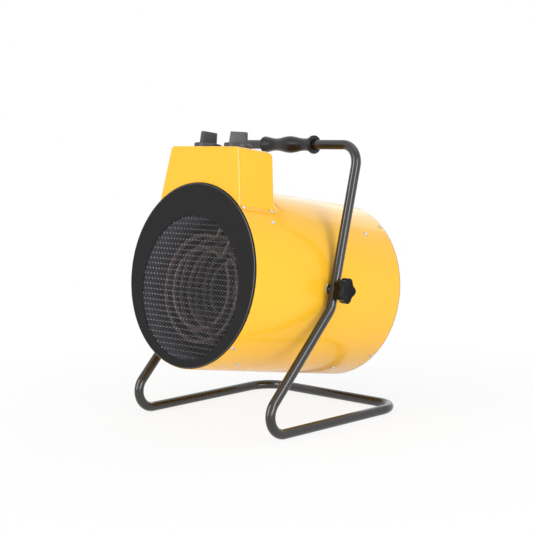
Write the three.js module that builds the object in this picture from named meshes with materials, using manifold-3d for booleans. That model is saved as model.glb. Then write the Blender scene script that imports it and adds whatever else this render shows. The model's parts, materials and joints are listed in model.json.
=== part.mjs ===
// Forced air heater: a sheet drum with heating elements and a fan, hung in a bent tube stand.
// Units are millimetres. Z is up, the air leaves towards -Y, and the stand rests on Z = 0.
// Inside the drum groups, X is across, Y is the distance behind the drum's front edge (depth)
// and Z is the height above the drum's axis.

import * as THREE from "three";
import { mergeVertices } from "three/addons/utils/BufferGeometryUtils.js";
import Module from "manifold-3d";

const wasm = await Module();
wasm.setup();

// ---------------------------------------------------------------- driving dimensions
const GAP = 0.3; // clearance between pieces that seat on each other

// stand: one bent tube
const TUBE_RADIUS = 8;
const TUBE_SIDES = 12;
const SIDE_CLEARANCE = 2.5; // drum to tube
const PIVOT_HEIGHT = 223;
const LEG_LEAN = 16; // degrees back from upright, above the knee
const SHIN_LEAN = 44.6; // degrees, below the knee
const KNEE_DROP = 32.7; // pivot to knee, along the leg
const HANDLE_RISE = 239; // pivot to handle, along the leg
const REAR_BAR_DEPTH = 158; // pivot to the rear crossbar
const HANDLE_BEND = 36;
const KNEE_BEND = 30;
const FOOT_BEND = 30;
const REAR_BEND = 45;
const BEND_STEP = 18; // degrees between the rings of a bend
const TUBE_END_GAP = 1; // the two ends of the tube meet inside the grip

// handle grip
const GRIP_LENGTH = 122;
const GRIP_WALL = 1.8; // wall at the waists
const GRIP_SWELL = 3.9; // extra radius at the swells
const GRIP_WAVE = 67; // distance between swells
const GRIP_WAVE_SHIFT = 3; // middle swell to the middle of the grip
const GRIP_ROUND = 4; // rounding of its left end
const GRIP_COLLAR = 15.5; // radius of the collar on its right end
const GRIP_COLLAR_LENGTH = 5;

// drum
const DRUM_RADIUS = 150;
const DRUM_LENGTH = 340;
const DRUM_SIDES = 48;
const SHEET = 1.2;
const FRONT_TO_PIVOT = 164.5;
const DRUM_TILT = 9.6; // degrees, front raised

// front ring, rear ring and their guards
const OPENING_DROP = 19; // the openings, duct and fan sit this far below the drum's axis
const RING_LAND = 15; // width of the ring below its opening
const RING_STAND = 3.2; // plate face in front of the drum's edge
const RING_LIP = 1; // rolled edge outside the drum
const RING_BEAD = 2.2; // radius of the rolled edge
const RING_SKIRT = 14; // skirt depth inside the drum
const MESH_PITCH = 17.5; // width of a diamond of the front mesh
const MESH_RATIO = 2; // a diamond is this many times as tall as it is wide
const MESH_STRAND = 2.8;
const MESH_THICKNESS = 1.2;
const MESH_MARGIN = 6; // how far the mesh reaches past the opening
const MESH_BORDER = 5; // plain edge of the mesh, held under the ring
const MESH_SLIVER = 25; // cut diamonds of a smaller area are left closed
const GUARD_WIRE = 1.6; // wire radius
const GUARD_RINGS = 4;
const GUARD_HUB_RADIUS = 22;

// air duct and heating elements
const DUCT_STEP = 4; // duct outside the opening
const DUCT_SHEET = 1;
const DUCT_TO_FAN = 28; // end of the duct to the middle of the blades
const BRACKET_SHEET = 1.2;
const BRACKET_WIDTH = 14;
const BRACKET_PAD = 16;
const ELEMENT_RADIUS = 3.5;
const ELEMENT_SIDES = 6;
const ELEMENT_BEND = 8;
const ELEMENT_DEPTHS = [24, 57, 90];
const ELEMENT_LOOPS = [2, 2, 3]; // loops of each element
const LOOP_INSETS = [30, 50, 68]; // each loop inside the opening
const TERMINAL_ANGLE = 63; // where the element tails leave the duct
const TAIL_OFFSET = 15; // each tail to the middle of the pair
const TAIL_OUT = 22; // tail ends outside the duct
const TAIL_WINDOW = 3; // space round the tails in the duct's window
const TERMINAL_SHEET = 1.5;
const TERMINAL_SPAN = 14; // degrees either side
const SUPPORT_SHEET = 1.2;
const SUPPORT_HOLE = 5.6; // loose round the element
const SUPPORT_MARGIN = 8; // element supports reach inside the last loop
const SUPPORT_ANGLES = { right: 240, left: 120 }; // degrees round from the terminals

// fan and motor
const FAN_INSET = 8; // blade tips inside the opening
const FAN_BLADES = 5;
const FAN_HUB_RADIUS = 24;
const FAN_HUB_LENGTH = 14;
const FAN_TO_REAR = 106; // middle of the blades to the drum's rear edge
const FAN_ROOT_CHORD = 44;
const FAN_TIP_CHORD = 78;
const FAN_ROOT_PITCH = 36; // degrees
const FAN_TIP_PITCH = 20;
const BLADE_SHEET = 1.6;
const SHAFT_RADIUS = 4;
const NUT_RADIUS = 7.5;
const NUT_HEIGHT = 6.5;
const MOTOR_RADIUS = 42;
const MOTOR_LENGTH = 56;
const MOTOR_TO_FAN = 20; // front of the motor behind the middle of the blades
const MOTOR_NOSE = 7; // bearing boss in front of the casing
const MOTOR_CROWN = 7; // depth of the casing's rounded ends
const MOTOR_CLAMP = 26; // bracket behind the motor's front
const MOTOR_BORE_DEPTH = 18;
const SPIDER_SHEET = 2;
const SPIDER_RING = 12; // width of the ring that clamps the motor
const SPIDER_ARM = 16;

// control box
const BOX_RISE = 59; // top of the box above the drum
const BOX_TOP_HALF_WIDTH = 80;
const BOX_SIDE_SLOPE = 10; // degrees
const BOX_DEPTH = 76;
const BOX_EDGE = 4; // bend radius of the long edges
const BOX_REAR_EDGE = 6;
const FLANGE_SPAN = 3.9; // degrees of the drum that the side flange covers
const FLANGE_LAP = 1.3; // degrees of it inside the box's wall
const REAR_FLANGE = 12;
const FRONT_RETURN = 8; // edges of the front cover folded back inside the box

// controls
const KNOB_SPREAD = 36; // each knob to the middle plane
const KNOB_DEPTH = 40;
const KNOB_RADIUS = 21.3;
const KNOB_BASE = 9;
const KNOB_BAR_LENGTH = 31;
const KNOB_BAR_TOP = 28;
const KNOB_BAR_THICKNESS = 8;
const KNOB_BAR_HEIGHT = 19;
const SPINDLE_RADIUS = 3;
const THERMOSTAT_TURN = 86; // degrees from the X axis, as the knob is set
const SWITCH_TURN = 20;
const CONTROL_BODY = 34; // width of the thermostat and of the rotary switch
const CONTROL_HEIGHT = 26;

// star knobs
const STAR_RADIUS = 19;
const STAR_LOBE = 2.3;
const STAR_LOBES = 5;
const STAR_THICKNESS = 15;
const STAR_BEVEL = 3;
const STAR_BOSS_RADIUS = 8;
const STAR_BOSS = 6;
const STUD_RADIUS = 4;
const STUD_SIDES = 12;
const WASHER_RADIUS = 9.5;
const PIVOT_NUT_RADIUS = 7.5;
const PIVOT_NUT_LENGTH = 9;

// screws: shank, head and hole
const SCREW_SHANK = 2.1;
const SCREW_HEAD = 3.5;
const SCREW_HEAD_HEIGHT = 2.4;
const SCREW_LENGTH = 8;
const SCREW_HOLE = 2.9;
const HOLE_SIDES = 6;

// screw rows: angle from +X round the drum, and depth behind the front edge
const COVER_SCREWS_BELOW = 1.3; // degrees below the box's foot
const COVER_SCREW_FRONT = 6;
const COVER_SCREW_TO_REAR = 9; // to the box's rear wall
const RING_SCREWS = { angle: -44.5, depth: 5.5 };
const DUCT_SCREWS_BELOW = 10.3; // degrees below the box's foot
const DUCT_SCREWS_LOWER = -63;
const DUCT_SCREW_DEPTH = 57;
const MOTOR_SCREWS = { upper: 40.7, lower: -62.5 };
const REAR_SCREWS = { upper: 49.8, lower: -45.3, depth: DRUM_LENGTH - 5 };

// cable inlet and inner parts
const GLAND_RADIUS = 11;
const GLAND_HEXAGON = 13.2;
const GLAND_BORE = 5;
const LOCK_NUT_HEIGHT = 4;
const GLAND_THREAD = 8;
const GLAND_DROP = 19.5; // gland below the box's top
const GLAND_SIDE = 0;
const BLOCK_WIDTH = 64;
const BLOCK_DEPTH = 16;
const BLOCK_HEIGHT = 18;
const BLOCK_POLES = 6;
const BLOCK_HOLE = 2.6;
const CUTOUT_RADIUS = 8;
const CUTOUT_HEIGHT = 11;
const CUTOUT_DEPTH = 122;

// ---------------------------------------------------------------- sizes that follow
const DRUM_INSIDE = DRUM_RADIUS - SHEET;
const STAND_HALF_WIDTH = DRUM_RADIUS + SIDE_CLEARANCE + TUBE_RADIUS; // to the tube's centre
const OPENING_RADIUS = DRUM_RADIUS - OPENING_DROP - RING_LAND;
const DUCT_RADIUS = OPENING_RADIUS + DUCT_STEP;
const LOOP_RADII = LOOP_INSETS.map((inset) => OPENING_RADIUS - inset);
const TAIL_REACH = DUCT_RADIUS + TAIL_OUT;
const SUPPORT_REACH = LOOP_RADII.at(-1) - SUPPORT_MARGIN;
const FAN_RADIUS = OPENING_RADIUS - FAN_INSET;
const FAN_DEPTH = DRUM_LENGTH - FAN_TO_REAR;
const DUCT_END = FAN_DEPTH - DUCT_TO_FAN;
const MOTOR_FRONT = FAN_DEPTH + MOTOR_TO_FAN;
const MOTOR_CLAMP_DEPTH = MOTOR_FRONT + MOTOR_CLAMP;
const BOX_TOP = DRUM_RADIUS + BOX_RISE; // above the drum's axis
const GLAND_HEIGHT = BOX_TOP - GLAND_DROP;
const SKIRT_RADIUS = DRUM_INSIDE - GAP;
const RING_BACK = SHEET - RING_STAND; // inner face of the ring's plate
const STUD_HOLE = STUD_RADIUS + 2 * GAP;
const SIDES = { right: 1, left: -1 };

const radians = THREE.MathUtils.degToRad;
const across = (angle, radius) => radius * Math.cos(radians(angle));
const above = (angle, radius) => radius * Math.sin(radians(angle));

// The angle round the drum at which the box's sloping side meets it: the side's normal, and
// the angle on from there to where its line crosses the drum's round.
function boxFootAngle() {
  const atAxis = BOX_TOP_HALF_WIDTH + BOX_TOP * Math.tan(radians(BOX_SIDE_SLOPE));
  const distance = atAxis * Math.cos(radians(BOX_SIDE_SLOPE));
  return BOX_SIDE_SLOPE + THREE.MathUtils.radToDeg(Math.acos(distance / DRUM_RADIUS));
}
const FOOT_ANGLE = boxFootAngle();
const COVER_SCREWS = {
  angle: FOOT_ANGLE - COVER_SCREWS_BELOW,
  depths: [COVER_SCREW_FRONT, BOX_DEPTH - COVER_SCREW_TO_REAR],
};
const DUCT_SCREWS = {
  upper: FOOT_ANGLE - DUCT_SCREWS_BELOW, lower: DUCT_SCREWS_LOWER, depth: DUCT_SCREW_DEPTH,
};

// ---------------------------------------------------------------- finishes
const finish = (color, roughness, metalness) =>
  new THREE.MeshStandardMaterial({ color, roughness, metalness });
const yellowPaint = finish(0xfcc447, 0.35, 0.0);
const blackPaint = finish(0x343535, 0.55, 0.1);
const tubePaint = finish(0x2e2b29, 0.4, 0.2);
const gripPlastic = finish(0x222123, 0.4, 0.0);
const knobPlastic = finish(0x4a484a, 0.5, 0.0);
const starPlastic = finish(0x151413, 0.25, 0.0);
const zincPlate = finish(0xc9cbd0, 0.3, 0.9);
const ductSteel = finish(0x5c606b, 0.4, 0.7);
const elementSteel = finish(0x6b5d57, 0.45, 0.6);
const aluminium = finish(0xa9abb0, 0.4, 0.8);
const controlPlastic = finish(0x8c8f93, 0.6, 0.0);

// ---------------------------------------------------------------- shaping tools
// The corner radius of a many-sided bore that clears a round of the given radius.
const boreCorner = (radius, sides) => radius / Math.cos(Math.PI / sides);

// A closed geometry as a solid that can be cut and joined.
function solid(geometry) {
  const bare = geometry.clone();
  bare.deleteAttribute("normal");
  bare.deleteAttribute("uv");
  const merged = mergeVertices(bare, 1e-4);
  return new wasm.Manifold(new wasm.Mesh({
    numProp: 3,
    vertProperties: new Float32Array(merged.attributes.position.array),
    triVerts: new Uint32Array(merged.index.array),
  }));
}

function geometryOf(body) {
  const mesh = body.getMesh();
  const geometry = new THREE.BufferGeometry();
  const stride = mesh.numProp;
  const count = mesh.vertProperties.length / stride;
  const positions = new Float32Array(count * 3);
  for (let i = 0; i < count; i++) {
    positions.set(mesh.vertProperties.subarray(i * stride, i * stride + 3), i * 3);
  }
  geometry.setAttribute("position", new THREE.BufferAttribute(positions, 3));
  geometry.setIndex(new THREE.BufferAttribute(new Uint32Array(mesh.triVerts), 1));
  geometry.computeVertexNormals();
  return geometry;
}

// A profile of [radius, height] points turned about Y; one off the axis closes on itself.
function revolve(profile, sides) {
  const points = profile.map(([radius, height]) => new THREE.Vector2(radius, height));
  if (profile[0][0] > 0) points.push(points[0].clone());
  return new THREE.LatheGeometry(points, sides);
}

// A shape drawn in X and Z, given thickness from depth `from` to depth `to`.
function plateAcross(shape, from, to) {
  const geometry = new THREE.ExtrudeGeometry(shape, { depth: to - from, bevelEnabled: false });
  return geometry.rotateX(Math.PI / 2).translate(0, to, 0);
}

// A shape drawn in Y and Z, given thickness from X = `from` to X = `to`.
function plateAlong(shape, from, to) {
  const geometry = new THREE.ExtrudeGeometry(shape, { depth: to - from, bevelEnabled: false });
  return layAlongX(geometry).translate(from, 0, 0);
}

// Turns a geometry drawn in X and Y and grown along Z, so that it is drawn in Y and Z
// and grown along X.
function layAlongX(geometry) {
  const turn = new THREE.Matrix4().makeBasis(
    new THREE.Vector3(0, 1, 0), new THREE.Vector3(0, 0, 1), new THREE.Vector3(1, 0, 0));
  return geometry.applyMatrix4(turn);
}

function roundBar(radius, length, sides, centre, direction) {
  const geometry = new THREE.CylinderGeometry(radius, radius, length, sides);
  const turn = new THREE.Quaternion().setFromUnitVectors(new THREE.Vector3(0, 1, 0), direction);
  return geometry.applyQuaternion(turn).translate(centre.x, centre.y, centre.z);
}

const drill = (radius, length, centre, direction, sides = HOLE_SIDES) =>
  solid(roundBar(radius, length, sides, centre, direction));

function polygon(radius, sides, turn) {
  const shape = new THREE.Shape();
  const corner = (i) => turn + ((i + 0.5) * 2 * Math.PI) / sides;
  for (let i = 0; i < sides; i++) {
    const point = [radius * Math.cos(corner(i)), radius * Math.sin(corner(i))];
    if (i === 0) shape.moveTo(...point);
    else shape.lineTo(...point);
  }
  return shape;
}

// A band between two radii and two angles in degrees.
function sector(inner, outer, from, to, steps) {
  const shape = new THREE.Shape();
  const angle = (i) => from + ((to - from) * i) / steps;
  shape.moveTo(across(from, outer), above(from, outer));
  for (let i = 1; i <= steps; i++) shape.lineTo(across(angle(i), outer), above(angle(i), outer));
  for (let i = steps; i >= 0; i--) shape.lineTo(across(angle(i), inner), above(angle(i), inner));
  return shape;
}

// The outline of a sheet of even thickness that follows a bent line of [x, y] points.
function foldedSheet(line, thickness) {
  const points = line.map(([x, y]) => new THREE.Vector2(x, y));
  const side = (i) => {
    const next = points[Math.min(i + 1, points.length - 1)];
    const last = points[Math.max(i - 1, 0)];
    const ahead = next.clone().sub(points[i]).normalize();
    const behind = points[i].clone().sub(last).normalize();
    const along = ahead.clone().add(behind).normalize();
    const normal = new THREE.Vector2(-along.y, along.x);
    const lean = ahead.lengthSq() && behind.lengthSq() ? along.dot(ahead) : 1;
    return normal.multiplyScalar(thickness / 2 / lean);
  };
  const left = points.map((point, i) => point.clone().add(side(i)));
  const right = points.map((point, i) => point.clone().sub(side(i)));
  return new THREE.Shape(right.concat(left.reverse()));
}

// A centreline given by stations, each a point and the direction there.
class StationCurve extends THREE.Curve {
  constructor(stations) {
    super();
    this.stations = stations;
  }
  station(share) {
    return this.stations[Math.round(share * (this.stations.length - 1))];
  }
  getPointAt(share, target = new THREE.Vector3()) {
    return target.copy(this.station(share).point);
  }
  getTangentAt(share, target = new THREE.Vector3()) {
    return target.copy(this.station(share).tangent);
  }
}

function sweep(stations, section) {
  return new THREE.ExtrudeGeometry(section, {
    steps: stations.length - 1,
    bevelEnabled: false,
    extrudePath: new StationCurve(stations),
  });
}

// Straight runs between corners, joined by round bends with a ring about every `step` degrees.
function bentLine(corners, bends, step) {
  const towards = (i) => corners[i + 1].clone().sub(corners[i]).normalize();
  const stations = [{ point: corners[0], tangent: towards(0) }];
  for (let i = 1; i < corners.length - 1; i++) {
    const before = towards(i - 1);
    const after = towards(i);
    const turn = before.angleTo(after);
    const inward = after.clone().addScaledVector(before, -Math.cos(turn)).normalize();
    const radius = bends[i - 1];
    const start = corners[i].clone().addScaledVector(before, -radius * Math.tan(turn / 2));
    const centre = start.clone().addScaledVector(inward, radius);
    const count = Math.ceil(turn / radians(step));
    for (let k = 0; k <= count; k++) {
      const angle = (turn * k) / count;
      stations.push({
        point: centre.clone()
          .addScaledVector(inward, -radius * Math.cos(angle))
          .addScaledVector(before, radius * Math.sin(angle)),
        tangent: before.clone().multiplyScalar(Math.cos(angle))
          .addScaledVector(inward, Math.sin(angle)),
      });
    }
  }
  stations.push({ point: corners.at(-1), tangent: towards(corners.length - 2) });
  return stations;
}

function addPiece(parent, name, geometry, material) {
  const mesh = new THREE.Mesh(geometry, material);
  mesh.name = name;
  parent.add(mesh);
  return mesh;
}

// ---------------------------------------------------------------- groups
const heater = new THREE.Group();
const stand = new THREE.Group();
stand.position.z = PIVOT_HEIGHT; // its origin is the pivot
const tilted = new THREE.Group(); // turns about the pivot
tilted.position.z = PIVOT_HEIGHT;
tilted.rotation.x = -radians(DRUM_TILT);
const drum = new THREE.Group(); // origin at the middle of the drum's front edge
drum.position.y = -FRONT_TO_PIVOT;
const core = new THREE.Group(); // round the axis of the duct, elements and fan
core.position.z = -OPENING_DROP;
heater.add(stand, tilted);
tilted.add(drum);
drum.add(core);

// ---------------------------------------------------------------- stand
const legDirection = new THREE.Vector3(0, Math.sin(radians(LEG_LEAN)), Math.cos(radians(LEG_LEAN)));
const pivotAxis = new THREE.Vector3(1, 0, 0);
const handleCentre = legDirection.clone().multiplyScalar(HANDLE_RISE);

function standCorners(side) {
  const knee = legDirection.clone().multiplyScalar(-KNEE_DROP);
  const railHeight = TUBE_RADIUS - PIVOT_HEIGHT;
  const footDepth = knee.y - (knee.z - railHeight) * Math.tan(radians(SHIN_LEAN));
  const foot = new THREE.Vector3(0, footDepth, railHeight);
  const rear = new THREE.Vector3(0, REAR_BAR_DEPTH, railHeight);
  return [handleCentre, knee, foot, rear].map((point) =>
    point.clone().setX(side * STAND_HALF_WIDTH));
}

// One tube: from inside the grip, down the right leg, along the ground, and up the left leg.
// The many-sided section has flat sides on the ground.
function standTube() {
  const end = (side) => handleCentre.clone().setX((side * TUBE_END_GAP) / 2);
  const corners = [
    end(SIDES.right), ...standCorners(SIDES.right),
    ...standCorners(SIDES.left).reverse(), end(SIDES.left),
  ];
  const bends = [HANDLE_BEND, KNEE_BEND, FOOT_BEND, REAR_BEND];
  const stations = bentLine(corners, bends.concat(bends.slice().reverse()), BEND_STEP);
  const cornerRadius = TUBE_RADIUS / Math.cos(Math.PI / TUBE_SIDES);
  const tube = solid(sweep(stations, polygon(cornerRadius, TUBE_SIDES, -radians(LEG_LEAN))));
  const boreLength = 2 * STAND_HALF_WIDTH + 4 * TUBE_RADIUS;
  const bore = drill(STUD_HOLE, boreLength, new THREE.Vector3(), pivotAxis, STUD_SIDES);
  return geometryOf(tube.subtract(bore));
}
addPiece(stand, "stand_tube", standTube(), tubePaint);

// Swells between finger waists round the tube's bore, with a rounded left end and a collar
// on the right end.
function handleGrip() {
  const bore = TUBE_RADIUS / Math.cos(Math.PI / TUBE_SIDES) + GAP;
  const half = GRIP_LENGTH / 2;
  const edge = 1; // break of the sharp corners
  const swellRadius = (at) => bore + GRIP_WALL
    + (GRIP_SWELL / 2) * (1 + Math.cos((2 * Math.PI * (at - GRIP_WAVE_SHIFT)) / GRIP_WAVE));
  const from = GRIP_ROUND - half;
  const to = half - GRIP_COLLAR_LENGTH;
  const steps = 14;
  const profile = [[bore, -half], [swellRadius(from) - GRIP_ROUND * 0.6, -half]];
  profile.push([swellRadius(from) - GRIP_ROUND * 0.15, from - GRIP_ROUND * 0.6]);
  for (let i = 0; i <= steps; i++) {
    const at = from + ((to - from) * i) / steps;
    profile.push([swellRadius(at), at]);
  }
  profile.push([GRIP_COLLAR - edge, to], [GRIP_COLLAR, to + edge], [GRIP_COLLAR, half - edge]);
  profile.push([GRIP_COLLAR - edge, half], [bore, half]);
  return revolve(profile, 14).rotateZ(-Math.PI / 2);
}
addPiece(stand, "handle_grip", handleGrip(), gripPlastic).position.copy(handleCentre);

// ---------------------------------------------------------------- screw places
const screwPlaces = [];
for (const [side, sign] of Object.entries(SIDES)) {
  const onSide = (angle) => (sign > 0 ? angle : 180 - angle);
  const cover = DRUM_RADIUS + SHEET + GAP; // these heads sit on the box's flange
  const place = (name, angle, depth, seat, joins) =>
    screwPlaces.push({ name: `${name}_${side}`, angle: onSide(angle), depth, seat, joins });
  place("cover_screw_front", COVER_SCREWS.angle, COVER_SCREWS.depths[0], cover, ["box", "front"]);
  place("cover_screw_rear", COVER_SCREWS.angle, COVER_SCREWS.depths[1], cover, ["box"]);
  place("ring_screw", RING_SCREWS.angle, RING_SCREWS.depth, DRUM_RADIUS, ["front"]);
  for (const level of ["upper", "lower"]) {
    place(`duct_screw_${level}`, DUCT_SCREWS[level], DUCT_SCREWS.depth, DRUM_RADIUS, ["duct"]);
    place(`motor_screw_${level}`, MOTOR_SCREWS[level], MOTOR_CLAMP_DEPTH, DRUM_RADIUS, ["motor"]);
    place(`rear_screw_${level}`, REAR_SCREWS[level], REAR_SCREWS.depth, DRUM_RADIUS, ["rear"]);
  }
}

const radial = (angle) => new THREE.Vector3(across(angle, 1), 0, above(angle, 1));

// Cuts the holes of the screws that join the piece, and of all of them when none is named.
function withScrewHoles(body, piece) {
  let cut = body;
  for (const screw of screwPlaces.filter((s) => !piece || s.joins.includes(piece))) {
    const centre = radial(screw.angle).multiplyScalar(DRUM_RADIUS).setY(screw.depth);
    cut = cut.subtract(drill(SCREW_HOLE, 3 * SCREW_LENGTH, centre, radial(screw.angle)));
  }
  return cut;
}

for (const screw of screwPlaces) {
  const head = screw.seat + GAP;
  const profile = [
    [0, DRUM_RADIUS - SCREW_LENGTH], [SCREW_SHANK, DRUM_RADIUS - SCREW_LENGTH],
    [SCREW_SHANK, head], [SCREW_HEAD, head], [SCREW_HEAD * 0.85, head + SCREW_HEAD_HEIGHT * 0.7],
    [0, head + SCREW_HEAD_HEIGHT],
  ];
  const mesh = addPiece(drum, screw.name, revolve(profile, 6), zincPlate);
  mesh.position.y = screw.depth;
  mesh.quaternion.setFromUnitVectors(new THREE.Vector3(0, 1, 0), radial(screw.angle));
}

// ---------------------------------------------------------------- drum
const WINDOW = { halfWidth: 40, from: 16, to: 62 }; // wiring window under the control box
const pivotInDrum = new THREE.Vector3(0, FRONT_TO_PIVOT, 0);

function drumShell() {
  const tube = solid(revolve([
    [DRUM_INSIDE, 0], [DRUM_RADIUS, 0], [DRUM_RADIUS, DRUM_LENGTH], [DRUM_INSIDE, DRUM_LENGTH],
  ], DRUM_SIDES));
  const window = new THREE.BoxGeometry(2 * WINDOW.halfWidth, WINDOW.to - WINDOW.from, DRUM_RADIUS)
    .translate(0, (WINDOW.from + WINDOW.to) / 2, DRUM_RADIUS);
  const bore = drill(STUD_HOLE, 2 * DRUM_RADIUS + 4 * SHEET, pivotInDrum, pivotAxis, STUD_SIDES);
  return geometryOf(withScrewHoles(tube.subtract(bore).subtract(solid(window))));
}
addPiece(drum, "drum_shell", drumShell(), yellowPaint);

// Flat end plate with a low round opening, a rolled edge that covers the drum's edge, and a
// skirt inside the drum.
function endRing(piece) {
  const face = -RING_STAND;
  const inner = SKIRT_RADIUS - SHEET;
  const lip = DRUM_RADIUS + RING_LIP;
  const edge = solid(revolve([
    [0, face], [lip - RING_BEAD, face], [lip - RING_BEAD * 0.3, face + RING_BEAD * 0.3],
    [lip, face + RING_BEAD], [lip, -GAP], [SKIRT_RADIUS, -GAP], [SKIRT_RADIUS, RING_SKIRT],
    [inner, RING_SKIRT], [inner, RING_BACK], [0, RING_BACK],
  ], DRUM_SIDES));
  const openingCentre = new THREE.Vector3(0, 0, -OPENING_DROP);
  const opening = solid(
    roundBar(OPENING_RADIUS, 4 * RING_SKIRT, DRUM_SIDES, openingCentre, new THREE.Vector3(0, 1, 0)));
  const ring = edge.subtract(opening);
  return piece === "front" ? ring : ring.mirror([0, 1, 0]).translate([0, DRUM_LENGTH, 0]);
}
for (const piece of ["front", "rear"]) {
  const ring = withScrewHoles(endRing(piece), piece);
  addPiece(drum, `${piece}_ring`, geometryOf(ring), blackPaint);
}

// Expanded metal: rows of tall diamonds, every second row shifted by half a diamond, cut off
// round at the plain border behind the ring.
function frontGrille() {
  const radius = OPENING_RADIUS + MESH_MARGIN;
  const height = MESH_PITCH * MESH_RATIO;
  const halfWide = (MESH_PITCH - MESH_STRAND) / 2;
  const halfTall = halfWide * MESH_RATIO;
  const rows = Math.ceil((2 * radius) / height) * 2;
  const columns = Math.ceil(radius / MESH_PITCH);
  const diamonds = [];
  for (let row = -rows; row <= rows; row++) {
    for (let column = -columns; column <= columns; column++) {
      const x = (column + (row % 2 ? 0.5 : 0)) * MESH_PITCH;
      const z = (row * height) / 2;
      diamonds.push([[halfWide, 0], [0, halfTall], [-halfWide, 0], [0, -halfTall]]
        .map(([dx, dz]) => [x + dx, z + dz]));
    }
  }
  const cutRound = wasm.CrossSection.circle(radius - MESH_BORDER, DRUM_SIDES);
  const windows = new wasm.CrossSection(diamonds).intersect(cutRound).decompose()
    .filter((window) => window.area() > MESH_SLIVER);
  const plate = wasm.CrossSection.circle(radius, DRUM_SIDES)
    .subtract(wasm.CrossSection.compose(windows));
  const depth = RING_BACK + GAP + MESH_THICKNESS;
  return geometryOf(plate.extrude(MESH_THICKNESS)).rotateX(Math.PI / 2).translate(0, depth, 0);
}
addPiece(core, "front_grille", frontGrille(), blackPaint);

// Round wires on four spokes, behind the air inlet.
function rearGuard() {
  const outer = OPENING_RADIUS + MESH_MARGIN - GUARD_WIRE;
  const depth = DRUM_LENGTH - RING_BACK - GAP - GUARD_WIRE;
  const rings = [];
  for (let i = 0; i < GUARD_RINGS; i++) {
    const radius = GUARD_HUB_RADIUS + ((outer - GUARD_HUB_RADIUS) * i) / (GUARD_RINGS - 1);
    const ring = new THREE.TorusGeometry(radius, GUARD_WIRE, 4, 22).rotateX(Math.PI / 2);
    rings.push(solid(ring.translate(0, depth, 0)));
  }
  const spokeLength = outer - GUARD_HUB_RADIUS;
  for (const angle of [45, 135, 225, 315]) {
    const middle = radial(angle).multiplyScalar((outer + GUARD_HUB_RADIUS) / 2);
    const centre = middle.setY(depth - GUARD_WIRE);
    rings.push(solid(roundBar(GUARD_WIRE, spokeLength, 5, centre, radial(angle))));
  }
  return geometryOf(wasm.Manifold.union(rings));
}
addPiece(core, "rear_guard", rearGuard(), blackPaint);

// ---------------------------------------------------------------- air duct
const ductFront = RING_BACK + GAP + MESH_THICKNESS + GAP;
const terminal = new THREE.Vector3(across(TERMINAL_ANGLE, 1), 0, above(TERMINAL_ANGLE, 1));
const terminalSide = new THREE.Vector3(-terminal.z, 0, terminal.x); // further round the duct
const tailRow = { from: ELEMENT_DEPTHS[0] - 10, to: ELEMENT_DEPTHS.at(-1) + 10 };

// How far out the middle of a flat pad sits when its edges touch the drum's many-sided wall.
function padRadius(halfWidth, thickness) {
  const wall = DRUM_INSIDE * Math.cos(Math.PI / DRUM_SIDES) - GAP;
  return Math.sqrt(wall ** 2 - halfWidth ** 2) - thickness / 2;
}

// A strip from the duct to a pad that lies on the drum's wall, given in the duct's frame.
function wallBracket(angle, depth) {
  const reach = padRadius(BRACKET_PAD / 2, BRACKET_SHEET);
  const wall = radial(angle).multiplyScalar(reach).add(new THREE.Vector3(0, 0, OPENING_DROP));
  const along = new THREE.Vector3(-above(angle, 1), 0, across(angle, 1)).multiplyScalar(BRACKET_PAD / 2);
  if (along.x * wall.x > 0) along.negate();
  const corner = wall.clone().sub(along);
  const end = wall.clone().add(along);
  const start = corner.clone().normalize().multiplyScalar(DUCT_RADIUS - DUCT_SHEET / 2);
  const line = [start, corner, end].map((point) => [point.x, point.z]);
  const strip = foldedSheet(line, BRACKET_SHEET);
  return solid(plateAcross(strip, depth - BRACKET_WIDTH / 2, depth + BRACKET_WIDTH / 2));
}

function innerDuct() {
  const inside = DUCT_RADIUS - DUCT_SHEET;
  let duct = solid(revolve([
    [inside, ductFront], [DUCT_RADIUS, ductFront], [DUCT_RADIUS, DUCT_END], [inside, DUCT_END],
  ], DRUM_SIDES));
  const length = tailRow.to - tailRow.from;
  const width = 2 * (TAIL_OFFSET + ELEMENT_RADIUS + TAIL_WINDOW);
  const window = new THREE.BoxGeometry(TAIL_OUT, length, width)
    .rotateY(-radians(TERMINAL_ANGLE))
    .translate(terminal.x * DUCT_RADIUS, (tailRow.from + tailRow.to) / 2, terminal.z * DUCT_RADIUS);
  duct = duct.subtract(solid(window));
  for (const angle of [DUCT_SCREWS.upper, DUCT_SCREWS.lower]) {
    duct = duct.add(wallBracket(angle, DUCT_SCREWS.depth));
    duct = duct.add(wallBracket(180 - angle, DUCT_SCREWS.depth));
  }
  const inDrum = duct.translate([0, 0, -OPENING_DROP]);
  return geometryOf(withScrewHoles(inDrum, "duct"));
}
addPiece(drum, "inner_duct", innerDuct(), ductSteel);

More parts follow.
